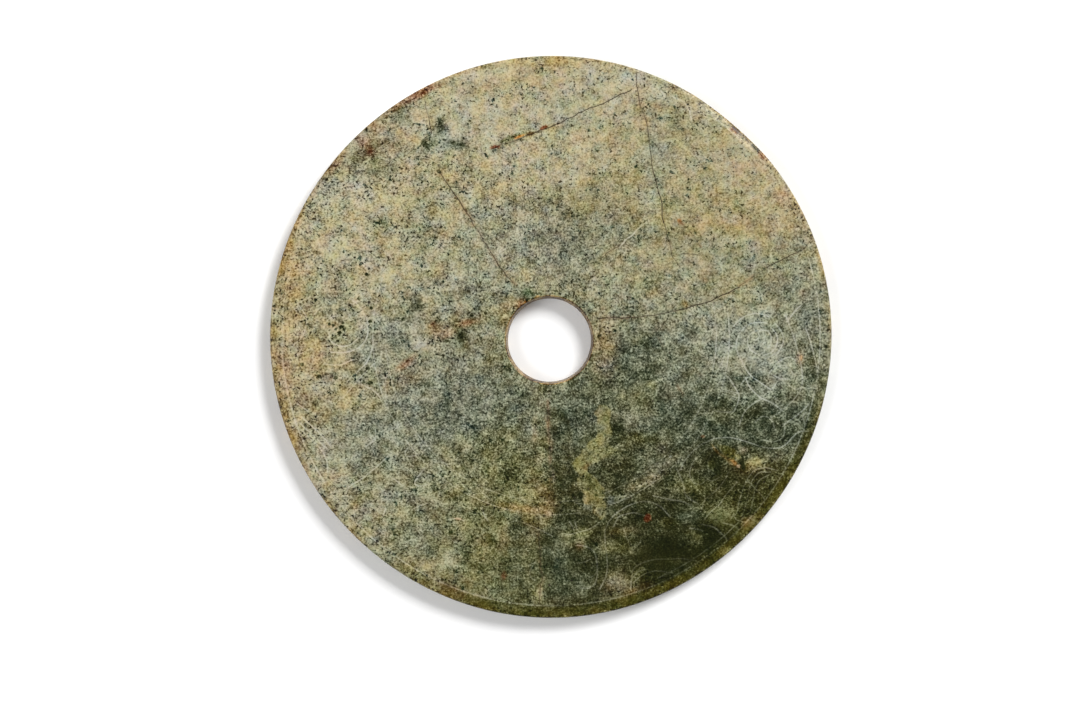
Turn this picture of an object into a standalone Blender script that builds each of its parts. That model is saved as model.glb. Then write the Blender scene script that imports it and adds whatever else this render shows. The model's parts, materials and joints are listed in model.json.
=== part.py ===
"""Ritual jade bi: one flat disc of stone with a drilled hole at its centre.

Metres, +Z up. The disc lies on its plain underside, with the carved face up. The origin is the centre of
the underside, and +Y points to the head of the carved design, where the surface is most worn.
"""

import math

import bmesh
import bpy

# Driving dimensions
DISC_RADIUS = 0.140
THICKNESS = 0.010
HOLE_RADIUS = 0.0208
HOLE_CENTRE = (-0.0008, -0.0017)

# The hole is drilled from both faces, so it narrows to a waist
WAIST_HEIGHT = 0.45 * THICKNESS
MOUTH_RADIUS = HOLE_RADIUS + 0.0011

# Its mouths are worn round: from the face inwards, each point's way out and down in measures of the wear
MOUTH_WEAR = 0.0006
MOUTH_SECTION = ((1.0, 0.0), (0.0, 0.5), (-0.3, 1.6))

# Incised rings of the carved face, as shares of the disc's radius
CORD_BAND_RINGS = (0.589 * DISC_RADIUS, 0.635 * DISC_RADIUS)
EDGE_RING = 0.959 * DISC_RADIUS
GROOVE_WIDTH = 0.0006
GROOVE_DEPTH = 0.00015

# Outside the edge ring both faces fall away a little to a rounded rim
UPPER_FALL = 0.0005
UNDER_FALL = 0.0003
RIM_ROUND = 0.0014
ROUND_STEPS = 3

# The rim was ground by hand: lobes around it, amplitude of each and the direction of its first high point
RIM_LOBES = ((2, 0.00021, 52.7), (3, 0.00017, 40.6), (4, 0.00027, 2.1))

# A flat worn off the upper edge of the rim: its middle, its half width and how deep it cuts
CHIP_MIDDLE = 49.5
CHIP_HALF_WIDTH = 10.0
CHIP_INSET = 0.0004
CHIP_DROP = 0.0012

# The rim's upper edge is what lies this near the rim, and the hole's region all within this radius
UPPER_EDGE_REACH = 1.5 * RIM_ROUND
HOLE_REGION = 2 * HOLE_RADIUS

SEGMENTS = 144
SEAM_DISTANCE = 0.000001
SHARP_DEGREES = 30.0

JADE_COLOUR = (0.22, 0.21, 0.13, 1.0)
JADE_ROUGHNESS = 0.42


def jade():
    """Polished olive-green stone."""
    material = bpy.data.materials.new("jade")
    material.use_nodes = True
    shader = material.node_tree.nodes["Principled BSDF"]
    shader.inputs["Base Color"].default_value = JADE_COLOUR
    shader.inputs["Roughness"].default_value = JADE_ROUGHNESS
    shader.inputs["Metallic"].default_value = 0.0
    material.diffuse_color = JADE_COLOUR
    return material


def groove(radius):
    """An incised ring on the carved face: down one wall to its bottom and up the other."""
    return [
        (radius - GROOVE_WIDTH / 2, THICKNESS),
        (radius, THICKNESS - GROOVE_DEPTH),
        (radius + GROOVE_WIDTH / 2, THICKNESS),
    ]


def rim_round(height, start, end):
    """A quarter round at the rim, about a centre at this height, from start to end in degrees."""
    points = []
    for step in range(ROUND_STEPS + 1):
        angle = math.radians(start + (end - start) * step / ROUND_STEPS)
        radius = DISC_RADIUS - RIM_ROUND + RIM_ROUND * math.cos(angle)
        points.append((radius, height + RIM_ROUND * math.sin(angle)))
    return points


def mouth(face_height, inwards):
    """The hole's worn mouth at one face, from the face inwards: -1 goes down from it and 1 goes up."""
    return [
        (MOUTH_RADIUS + out * MOUTH_WEAR, face_height + inwards * down * MOUTH_WEAR)
        for out, down in MOUTH_SECTION
    ]


def profile():
    """The disc's section as (radius, height) points: up the hole, out over the face, round and back below."""
    points = [(HOLE_RADIUS, WAIST_HEIGHT)]
    points += reversed(mouth(THICKNESS, -1))
    for radius in CORD_BAND_RINGS:
        points += groove(radius)
    points += groove(EDGE_RING)
    points += rim_round(THICKNESS - UPPER_FALL - RIM_ROUND, 90.0, 0.0)
    points += rim_round(UNDER_FALL + RIM_ROUND, 0.0, -90.0)
    points += [(EDGE_RING, 0.0)]
    points += mouth(0.0, 1)
    return points


def turned_disc(mesh_data):
    """The section spun once about Z and closed at its seam."""
    bm = bmesh.new()
    corners = [bm.verts.new((radius, 0.0, height)) for radius, height in profile()]
    edges = [bm.edges.new((corner, corners[i - 1])) for i, corner in enumerate(corners)]
    bmesh.ops.spin(
        bm,
        geom=corners + edges,
        cent=(0.0, 0.0, 0.0),
        axis=(0.0, 0.0, 1.0),
        angle=2 * math.pi,
        steps=SEGMENTS,
        use_merge=True,
    )
    bmesh.ops.remove_doubles(bm, verts=bm.verts, dist=SEAM_DISTANCE)
    for vert in bm.verts:
        place_by_hand(vert)
    bmesh.ops.recalc_face_normals(bm, faces=bm.faces)
    bm.to_mesh(mesh_data)
    bm.free()


def rim_lobes(angle):
    """How far the hand-ground rim stands out of the true circle in this direction."""
    return sum(size * math.cos(n * (angle - math.radians(first))) for n, size, first in RIM_LOBES)


def chip_share(angle):
    """0 away from the worn flat, rising smoothly to 1 at its middle."""
    reach = (math.degrees(angle) - CHIP_MIDDLE) / CHIP_HALF_WIDTH
    return max(0.0, 1.0 - reach * reach)


def place_by_hand(vert):
    """Takes a turned vertex to its real place: the lobed rim, the worn flat and the hole off centre."""
    radius = math.hypot(vert.co.x, vert.co.y)
    angle = math.atan2(vert.co.y, vert.co.x)
    outward = (vert.co.x / radius, vert.co.y / radius)
    rim_share = max(0.0, (radius - EDGE_RING) / (DISC_RADIUS - EDGE_RING))
    shift = rim_share * rim_lobes(angle)
    on_upper_edge = radius > DISC_RADIUS - UPPER_EDGE_REACH and vert.co.z > THICKNESS / 2
    if on_upper_edge:
        shift -= CHIP_INSET * chip_share(angle)
        vert.co.z -= CHIP_DROP * chip_share(angle)
    vert.co.x += outward[0] * shift
    vert.co.y += outward[1] * shift
    if radius < HOLE_REGION:
        vert.co.x += HOLE_CENTRE[0]
        vert.co.y += HOLE_CENTRE[1]


def build():
    for item in list(bpy.data.objects):
        bpy.data.objects.remove(item, do_unlink=True)
    mesh_data = bpy.data.meshes.new("bi_disc")
    turned_disc(mesh_data)
    mesh_data.materials.append(jade())
    mesh_data.shade_smooth()
    mesh_data.set_sharp_from_angle(angle=math.radians(SHARP_DEGREES))
    disc = bpy.data.objects.new("bi_disc", mesh_data)
    bpy.context.scene.collection.objects.link(disc)


build()
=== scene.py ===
# %% [markdown]
# # A ritual jade bi
# A bi is a flat disc of stone with a round hole at its centre. This one was sawn from a mottled olive and
# cream boulder, ground flat with wet sand, drilled from both faces, and then incised by hand: a ring near the
# rim, a corded ring a little over half way out, and between them a band of coiled dragons and plumes. The
# upper part of the band has worn away. The script loads the plain solid, makes the finished stone in the
# same place, and lights it from the upper right on a pale studio floor.

import json
import math

import bpy
import numpy as np
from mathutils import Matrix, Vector
from mathutils.geometry import delaunay_2d_cdt


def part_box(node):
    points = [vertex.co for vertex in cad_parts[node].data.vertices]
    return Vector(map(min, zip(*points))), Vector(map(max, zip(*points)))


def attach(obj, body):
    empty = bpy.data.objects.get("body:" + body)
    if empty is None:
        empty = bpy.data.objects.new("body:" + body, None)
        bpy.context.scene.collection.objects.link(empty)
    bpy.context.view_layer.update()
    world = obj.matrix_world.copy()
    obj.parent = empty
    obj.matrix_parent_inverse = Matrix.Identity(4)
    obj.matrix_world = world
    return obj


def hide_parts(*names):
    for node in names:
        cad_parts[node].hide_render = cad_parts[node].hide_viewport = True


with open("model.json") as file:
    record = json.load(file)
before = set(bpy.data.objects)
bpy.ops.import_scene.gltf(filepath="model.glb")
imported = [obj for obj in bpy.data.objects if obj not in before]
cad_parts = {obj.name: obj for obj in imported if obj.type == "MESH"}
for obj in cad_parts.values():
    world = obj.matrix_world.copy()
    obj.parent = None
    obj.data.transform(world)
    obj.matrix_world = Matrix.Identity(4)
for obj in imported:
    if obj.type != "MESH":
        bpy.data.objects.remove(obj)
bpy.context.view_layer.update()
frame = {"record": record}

low, high = (np.array(corner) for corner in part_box("bi_disc"))
THICKNESS = float(high[2])
hole_low, hole_high = (np.array(corner) for corner in frame["record"]["physics"]["openings"][0]["box_m"])
HOLE_CENTRE = (hole_low[:2] + hole_high[:2]) / 2

# The hand-ground rim has lobes: how many, how far each stands out, and the direction of the first one
RIM_LOBES = ((2, 0.00021, 52.7), (3, 0.00017, 40.6), (4, 0.00027, 2.1))

# Only the four lobes widen the solid's box on average; the others cancel out across it
FOUR_LOBES = RIM_LOBES[2][1]
RADIUS = float((high - low)[:2].mean() / 2 - FOUR_LOBES)
print(f"radius {RADIUS * 1000:.2f} mm, thickness {THICKNESS * 1000:.2f} mm")
print(f"hole centre {(HOLE_CENTRE * 1000).round(2)} mm")

# %% [markdown]
# ## The outline and the cut profile
# A maker saws a slab, breaks off its corners and grinds the rim by eye, so the outline is a circle with low
# lobes. One upper edge of the rim has a worn flat. Both are formulas of the direction around the disc,
# which keeps the outline smooth at any number of points. A scan or a drawn curve could do the same, but a
# formula is easy to change.

# %% The outline of the rim
# The incised rings' radii, and how far the border falls outside the edge ring, above and below
EDGE_RING = 0.959 * RADIUS
CORD_RINGS = (0.589 * RADIUS, 0.635 * RADIUS)
UPPER_FALL = 0.0005
UNDER_FALL = 0.0003

# The round of the rim's edges, and the worn flat: its middle and half width in degrees, how far in and down
RIM_ROUND = 0.0014
CHIP_MIDDLE = 49.5
CHIP_HALF_WIDTH = 10.0
CHIP_INSET = 0.0004
CHIP_DROP = 0.0012

# The hole at its waist and at its mouths, how far the mouths are worn round, and how high the waist is
HOLE_RADIUS = 0.0208
MOUTH_RADIUS = HOLE_RADIUS + 0.0011
MOUTH_WEAR = 0.0006
WAIST_HEIGHT = 0.45 * THICKNESS


def signed(direction):
    """The same direction between half a turn back and half a turn on."""
    return np.arctan2(np.sin(direction), np.cos(direction))


def chip_share(direction):
    """0 away from the worn flat and 1 at its middle: one less the square of the way from the middle."""
    reach = (np.degrees(signed(direction)) - CHIP_MIDDLE) / CHIP_HALF_WIDTH
    return np.clip(1 - reach**2, 0, None)


def rim_radius(direction):
    """The rim's radius in each direction: the mean radius and a cosine for each set of lobes."""
    radius = np.full_like(direction, RADIUS)
    for count, size, first in RIM_LOBES:
        radius = radius + size * np.cos(count * (direction - np.radians(first)))
    return radius


def place(degrees, share):
    """Polar to flat coordinates: directions in degrees and shares of the radius to x and y in metres."""
    turn = np.radians(degrees)
    return np.stack([RADIUS * share * np.cos(turn), RADIUS * share * np.sin(turn)], axis=-1)


all_round = 1000 * rim_radius(np.linspace(0, 2 * math.pi, 360))
print(f"the rim's radius runs from {all_round.min():.2f} to {all_round.max():.2f} mm")

# %% [markdown]
# ## Clouds of noise
# Stone is never even. Its colour drifts, its surface rolls under the hand, and worn lines come and go. All
# of that is read from one kind of noise: random numbers on the corners of a square lattice, blended
# smoothly in between, with finer and weaker layers added on top.

# %% Cloud noise on whole arrays
LAYERS = 3
LAYER_WEIGHT = 0.55
LATTICE = 512


def cloud(spots, size, seed):
    """Smooth noise from about -1 to 1: lattice values blended by 3t^2 - 2t^3, in layers of halved size."""
    total = np.zeros(len(spots))
    for layer in range(LAYERS):
        values = np.random.default_rng(seed + 31 * layer).uniform(-1, 1, (LATTICE, LATTICE))
        cell = spots / (size / 2**layer) + LATTICE // 2 + 17.3 * layer
        corner = np.floor(cell).astype(int)
        blend = cell - corner
        blend = blend * blend * (3 - 2 * blend)
        i, j = (corner % (LATTICE - 1)).T
        near = values[i, j] * (1 - blend[:, 1]) + values[i, j + 1] * blend[:, 1]
        far = values[i + 1, j] * (1 - blend[:, 1]) + values[i + 1, j + 1] * blend[:, 1]
        total += (near * (1 - blend[:, 0]) + far * blend[:, 0]) * LAYER_WEIGHT**layer
    return total / 1.2


def smooth_step(value, start, end):
    """0 below start, 1 above end and an S-shaped rise between."""
    share = np.clip((value - start) / (end - start), 0, 1)
    return share * share * (3 - 2 * share)


sample = cloud(place(np.arange(360), np.ones(360)), 0.02, 0)
print(f"noise around the rim runs from {sample.min():.2f} to {sample.max():.2f}")

# %% [markdown]
# ## The incised design
# The band was drawn with a hard point held against the stone: thin, shallow, slightly hesitant lines. Each
# stroke is kept as the few points that its curve needs, given as a direction and a share of the radius, so
# that a stroke that follows the band is easy to read. A smooth curve is carried through them. Strokes that
# the hand has worn down are a list of their own, cut shallower and paler.

# %% Strokes of the coil on the right
# Every stroke is a few points (direction in degrees, share of the radius), cut as one smooth curve
RIGHT_CLEAR = [
    [(5, 0.840), (0, 0.864), (-5, 0.889), (-9.5, 0.908), (-13, 0.904), (-17.3, 0.868), (-20.2, 0.836)],
    [(3.2, 0.802), (1, 0.823), (-1.5, 0.827), (-4, 0.808), (-5.8, 0.768)],
    [(2, 0.789), (0.3, 0.805), (-1.7, 0.806), (-3.7, 0.792), (-5, 0.763)],
    [
        (-1, 0.661), (-4.3, 0.664), (-7.3, 0.684), (-9.5, 0.704), (-11.2, 0.728), (-12.3, 0.760),
        (-13.5, 0.803),
    ],
    [(-12, 0.709), (-14, 0.727), (-15.5, 0.757), (-16.3, 0.785), (-16.8, 0.825), (-17.7, 0.860)],
    [
        (-12.7, 0.646), (-14.7, 0.669), (-17, 0.698), (-18.7, 0.705), (-21, 0.705), (-22.7, 0.698),
        (-24.2, 0.645),
    ],
    [(-5.7, 0.877), (-5, 0.855), (-5.4, 0.836), (-6.7, 0.812), (-9.3, 0.789)],
    [(-15, 0.946), (-17, 0.928), (-18.7, 0.910), (-20.5, 0.890)],
    [(7, 0.895), (6, 0.875), (3.7, 0.843)],
]
RIGHT_WORN = [
    [(3.6, 0.768), (4, 0.740), (3.6, 0.708), (2, 0.680), (-1, 0.661)],
    [(5.2, 0.778), (6.3, 0.746), (6.3, 0.706), (5.2, 0.676), (3.2, 0.650)],
    [(1.7, 0.909), (-2, 0.929), (-7.7, 0.957)],
    [(1.5, 0.775), (0, 0.784), (-2, 0.782), (-3.5, 0.766), (-4.8, 0.750)],
    [(1.5, 0.775), (1.8, 0.745), (1.0, 0.715), (-1.2, 0.699), (-3.6, 0.710), (-4.9, 0.738)],
    [(1, 0.739), (0, 0.742), (-0.9, 0.731)],
    [(-15, 0.823), (-16, 0.846), (-16.7, 0.864)],
    [(-2.8, 0.666), (-3, 0.640)],
    [(-8.8, 0.872), (-7.5, 0.857), (-7.6, 0.838)],
    [(-10.1, 0.862), (-10.4, 0.832), (-9.8, 0.800)],
    [(-11.3, 0.955), (-11.5, 0.915), (-12.2, 0.890), (-11.7, 0.868)],
    [(-16.7, 0.946), (-17.7, 0.941), (-18.8, 0.953)],
    [(-17.5, 0.690), (-17.6, 0.642)],
    [(-18.8, 0.692), (-19, 0.642)],
    [(-16.9, 0.692), (-17.0, 0.655)],
    [(-18.2, 0.695), (-18.3, 0.645)],
    [(-11.3, 0.722), (-12.5, 0.706), (-14, 0.699)],
    [(-7.0, 0.838), (-7.4, 0.818), (-8.5, 0.803)],
    [(-12.0, 0.817), (-13.6, 0.806)],
]

# %% Strokes of the tail and plumes at the lower right
TAIL_CLEAR = [
    [
        (-20.2, 0.975), (-21.3, 0.942), (-25.3, 0.914), (-27.2, 0.868), (-28, 0.810), (-29.3, 0.735),
        (-32, 0.684),
    ],
    [(-32, 0.684), (-35.5, 0.660), (-39, 0.650), (-43, 0.651), (-46, 0.662)],
    [(-16.5, 0.782), (-18.2, 0.760), (-20, 0.745), (-22, 0.739), (-25, 0.741)],
    [(-22.2, 0.860), (-20.9, 0.843), (-20.4, 0.823), (-20.8, 0.803), (-22.9, 0.787)],
    [(-49, 0.957), (-49.2, 0.920), (-49.6, 0.891), (-51.3, 0.856)],
    [(-52.2, 0.871), (-53.3, 0.852), (-54.1, 0.842)],
    [(-48.7, 0.793), (-49.6, 0.742), (-48, 0.702), (-46.5, 0.652)],
    [(-50.4, 0.778), (-51.7, 0.748), (-53.3, 0.727), (-55, 0.703), (-57.3, 0.673)],
]
TAIL_WORN = [
    [
        (-30.7, 0.932), (-31.5, 0.895), (-33.5, 0.867), (-37, 0.867), (-41, 0.889), (-43.6, 0.912),
        (-45, 0.909),
    ],
    [(-32.7, 0.918), (-34.5, 0.903), (-36.7, 0.907), (-39, 0.925), (-41.3, 0.944)],
    [(-37.7, 0.796), (-39.5, 0.802), (-43, 0.803), (-46.7, 0.800), (-49.5, 0.820)],
    [(-38.3, 0.841), (-41.5, 0.840), (-45, 0.847), (-47.3, 0.844), (-50.2, 0.850)],
    [(-21.3, 0.893), (-22.7, 0.900), (-24.2, 0.895), (-25.3, 0.876), (-26, 0.843)],
    [(-31.7, 0.918), (-33, 0.888), (-35, 0.881), (-37, 0.887), (-40, 0.911), (-43.3, 0.935)],
    [(-37.2, 0.955), (-36.7, 0.909), (-36.3, 0.866)],
    [(-44, 0.950), (-44.6, 0.928), (-44.3, 0.909)],
    [(-45.7, 0.959), (-46.2, 0.930), (-47.2, 0.905)],
    [(-38.7, 0.782), (-40.5, 0.779), (-42, 0.768), (-42.3, 0.757)],
    [(-36.3, 0.709), (-38, 0.711), (-39.5, 0.724), (-40.2, 0.742), (-40, 0.768)],
    [
        (-43, 0.752), (-44.5, 0.749), (-45.6, 0.733), (-45.5, 0.711), (-44.5, 0.692), (-42, 0.676),
        (-39, 0.674), (-36, 0.683), (-33.5, 0.712),
    ],
]

# %% Strokes of the curl at the bottom
CURL_CLEAR = [
    [(-56.6, 0.762), (-57.3, 0.718), (-59, 0.688), (-62, 0.668), (-66, 0.663), (-70, 0.672), (-72.7, 0.691)],
    [(-72.7, 0.691), (-74.5, 0.720), (-75.4, 0.765), (-76.2, 0.840), (-77.2, 0.878), (-79, 0.914)],
    [(-61.5, 0.730), (-63.2, 0.710), (-64.8, 0.694), (-67.3, 0.687), (-69.5, 0.687), (-71.8, 0.712)],
    [(-80, 0.898), (-79, 0.860), (-78.5, 0.800), (-78.9, 0.776), (-80.5, 0.758), (-82.7, 0.750)],
    [(-76, 0.688), (-78.3, 0.698), (-81.3, 0.703), (-85, 0.709)],
]
CURL_WORN = [
    [
        (-57, 0.952), (-59.5, 0.917), (-62, 0.898), (-65.3, 0.875), (-68.5, 0.870), (-70.8, 0.885),
        (-72.5, 0.943),
    ],
    [(-63, 0.945), (-65, 0.922), (-67, 0.910), (-69.5, 0.911), (-71.5, 0.923)],
    [(-78.8, 0.850), (-79.7, 0.864), (-81, 0.871)],
    [(-80, 0.898), (-81.7, 0.907), (-83.3, 0.902)],
    [(-80, 0.805), (-81.3, 0.811), (-83, 0.813)],
    [(-68, 0.895), (-69.7, 0.894), (-71.5, 0.909)],
    [(-66.2, 0.795), (-67.8, 0.804), (-69, 0.795), (-69.4, 0.770), (-69.3, 0.735)],
    [(-93.7, 0.871), (-94.8, 0.859), (-95.2, 0.843), (-94.7, 0.823), (-93.8, 0.805), (-95.4, 0.817)],
    [(-82.3, 0.690), (-82.7, 0.663)],
    [(-83.3, 0.693), (-84.2, 0.663)],
    [(-84.3, 0.850), (-85.3, 0.868), (-86.5, 0.873)],
    [(-88.3, 0.800), (-89.3, 0.777), (-89.7, 0.763)],
    [(-90, 0.709), (-92.5, 0.693), (-95, 0.682), (-98.5, 0.671), (-101.5, 0.673), (-103.5, 0.687)],
]

# %% Strokes at the lower left
PLUME_CLEAR = [
    [(-109.2, 0.691), (-110.3, 0.682), (-111.9, 0.661)],
    [(-115.3, 0.727), (-117, 0.727), (-119, 0.741)],
    [(-126.7, 0.741), (-128, 0.768), (-128.8, 0.791)],
    [(-129.7, 0.687), (-131.3, 0.709), (-132.8, 0.714), (-133.4, 0.690), (-133.9, 0.645)],
    [(-142.3, 0.925), (-143.4, 0.895), (-143.1, 0.850), (-143.2, 0.790), (-143.8, 0.710)],
    [(-148.8, 0.930), (-150.8, 0.914), (-153.3, 0.911), (-155.5, 0.921), (-157.5, 0.935), (-159.2, 0.947)],
    [(-153.3, 0.891), (-155.7, 0.906), (-158, 0.922), (-160.8, 0.944)],
    [(-153.7, 0.877), (-156, 0.886), (-158.5, 0.901), (-162, 0.931)],
]
PLUME_WORN = [
    [(-113, 0.800), (-114.7, 0.809), (-116.3, 0.805), (-117.5, 0.797)],
    [(-131.4, 0.700), (-131.6, 0.650)],
    [(-133, 0.880), (-133.8, 0.850)],
    [(-135, 0.750), (-137.7, 0.755)],
    [(-138.7, 0.641), (-140, 0.664), (-140.8, 0.671), (-141.8, 0.659), (-142.2, 0.646)],
    [(-149.3, 0.764), (-149.8, 0.727), (-151.7, 0.709)],
    [(-157, 0.696), (-158.5, 0.716), (-159.7, 0.728)],
]

# %% Strokes of the coil on the left
LEFT_CLEAR = [
    [(-181, 0.790), (-179.2, 0.786), (-177.8, 0.766), (-177.3, 0.740), (-177.7, 0.714), (-179.3, 0.690)],
    [(-176, 0.788), (-175.7, 0.755), (-175.8, 0.718), (-177.3, 0.678), (-180, 0.656), (-184, 0.653)],
    [(-178.2, 0.918), (-179.5, 0.893), (-181.3, 0.878), (-183.3, 0.873), (-185, 0.878), (-187.5, 0.912)],
    [(-163, 0.800), (-164, 0.765), (-166.7, 0.714), (-168.5, 0.684), (-171.3, 0.637)],
    [(-167.7, 0.741), (-168.7, 0.718), (-170, 0.694), (-172.2, 0.662), (-177, 0.634)],
    [(-173, 0.807), (-172.6, 0.780), (-172.5, 0.750), (-173.3, 0.716)],
]
LEFT_WORN = [
    [(-184, 0.653), (-187, 0.670), (-190, 0.710), (-190.9, 0.750), (-190.8, 0.785)],
    [(-182.3, 0.809), (-184, 0.800), (-185.3, 0.777), (-185.6, 0.748), (-184.6, 0.715)],
    [(-184.7, 0.891), (-186, 0.902), (-187, 0.914)],
    [(-185.3, 0.909), (-186.2, 0.918), (-186.8, 0.930)],
    [(-178, 0.950), (-179, 0.936), (-180.3, 0.925)],
    [(-187.5, 0.912), (-188.3, 0.892), (-189, 0.876)],
    [(-184, 0.855), (-185.7, 0.844), (-187, 0.830), (-187.5, 0.815)],
    [(-175.7, 0.914), (-176.3, 0.887), (-177, 0.859)],
    [(-163, 0.907), (-165, 0.932)],
    [(-160, 0.645), (-162.7, 0.658), (-165, 0.685), (-166.5, 0.711)],
]

CLEAR_STROKES = RIGHT_CLEAR + TAIL_CLEAR + CURL_CLEAR + PLUME_CLEAR + LEFT_CLEAR
WORN_STROKES = RIGHT_WORN + TAIL_WORN + CURL_WORN + PLUME_WORN + LEFT_WORN
print(f"{len(CLEAR_STROKES)} clear strokes and {len(WORN_STROKES)} worn ones")

# %% A smooth curve through a stroke's points
# The step along a path, steps between a stroke's points, how far hand-held and compass-held points stray,
# and the turn in degrees between a ring's points
CUT_STEP = 0.0008
CURVE_STEPS = 16
HAND_WANDER = 0.00012
RING_WANDER = 0.00006
RING_TURN = 0.32


def smooth_path(points, seed):
    """A Catmull-Rom curve through the points, at even steps, with the slight wander of a hand-held point."""
    marks = np.array(points, float)
    ends = np.vstack([2 * marks[0] - marks[1], marks, 2 * marks[-1] - marks[-2]])
    share = np.linspace(0, 1, CURVE_STEPS, endpoint=False)[:, None]
    before, start, end, after = (ends[i : len(ends) - 3 + i, None] for i in range(4))
    bend = 2 * before - 5 * start + 4 * end - after
    twist = 3 * (start - end) + after - before
    curve = start + 0.5 * share * (end - before + share * (bend + share * twist))
    curve = np.vstack([curve.reshape(-1, 2), marks[-1:]])
    return even_steps(place(curve[:, 0], curve[:, 1]), HAND_WANDER, seed)


def even_steps(line, wander, seed):
    """The same line with a point every step along its length, each moved a little by noise."""
    length = np.concatenate([[0], np.cumsum(np.hypot(*np.diff(line, axis=0).T))])
    count = max(3, int(round(length[-1] / CUT_STEP)) + 1)
    along = np.linspace(0, length[-1], count)
    even = np.stack([np.interp(along, length, line[:, axis]) for axis in (0, 1)], axis=-1)
    drift = np.stack([cloud(even, 0.006, seed + 5), cloud(even, 0.006, seed + 6)], axis=-1)
    return even + wander * drift


def arc(share, start, end):
    """A ring, or a stretch of one, as points of one share of the radius between two directions."""
    degrees = np.linspace(start, end, max(4, int(abs(end - start) / RING_TURN)))
    return even_steps(place(degrees, np.full_like(degrees, share)), RING_WANDER, int(share * 1000))


print(f"the first stroke has {len(smooth_path(CLEAR_STROKES[0], 0))} points along its curve")

# %% The corded ring: slanting strokes laid over each other like the strands of a rope
CORD_COUNT = 24
CORD_FIRST = 5
CORD_SPACING = 8.6
CORD_STROKE = np.array([(0, 0.627), (-4.5, 0.617), (-9.5, 0.598)])
CORD_STROKES = [CORD_STROKE + [CORD_FIRST - CORD_SPACING * i, 0] for i in range(CORD_COUNT)]
print(f"{CORD_COUNT} strokes in the cord, one every {CORD_SPACING} degrees around the lower half")

# %% All the cuts
# How deep each kind of cut is and half its width, in metres, and how pale the bruised stone in it looks
CLEAR_CUT = (0.00013, 0.00050, 0.95)
WORN_CUT = (0.00008, 0.00044, 0.75)
CORD_CUT = (0.00008, 0.00044, 0.40)
EDGE_CUT = (0.00016, 0.00050, 0.7)
FADED_CUT = (0.00008, 0.00044, 0.25)
STRAY_CUT = (0.00008, 0.00044, 0.85)
RING_CUT = (0.00008, 0.00044, 0.65)

# Stretches of ring: the share of the radius, the directions where it starts and ends, and the kind of cut.
# One stray stretch lies a little inside the edge ring.
EDGE_SHARE = EDGE_RING / RADIUS
STRAY_INSET = 0.019
CORD_SHARES = [ring / RADIUS for ring in CORD_RINGS]
RINGS = [(EDGE_SHARE, 17, -196, EDGE_CUT), (EDGE_SHARE, 164, 17, FADED_CUT)]
RINGS += [(EDGE_SHARE - STRAY_INSET, -43, -66, STRAY_CUT)]
RINGS += [(share, 12, -71, RING_CUT) for share in CORD_SHARES]
RINGS += [(share, -81, -200, RING_CUT) for share in CORD_SHARES]

# Each stroke has a seed of its own, so that no two stray alike
CUTS = [(smooth_path(stroke, i), *CLEAR_CUT) for i, stroke in enumerate(CLEAR_STROKES)]
CUTS += [(smooth_path(stroke, 90 + i), *WORN_CUT) for i, stroke in enumerate(WORN_STROKES)]
CUTS += [(smooth_path(stroke, 190 + i), *CORD_CUT) for i, stroke in enumerate(CORD_STROKES)]
CUTS += [(arc(share, first, last), *cut) for share, first, last, cut in RINGS]
print(f"{len(CUTS)} cuts, {sum(len(cut[0]) for cut in CUTS) * CUT_STEP:.2f} m in all")

# %% [markdown]
# ## Cracks, the rusty seam and pits
# Natural joints run through the boulder. Ground water has stained some of them brown. They are jagged where
# the strokes are smooth, so they are kept as bent lines with stronger noise. Each stretch has a darkness and
# a stain of its own, since a joint opens and closes along its way.

# %% Natural cracks, as points in shares of the radius across and up the face
NATURAL_WANDER = 0.0006


def natural_line(points, seed):
    """A bent line through points in shares of the radius, at even steps, shaken by noise."""
    return even_steps(RADIUS * np.array(points, float), NATURAL_WANDER, seed)


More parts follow.
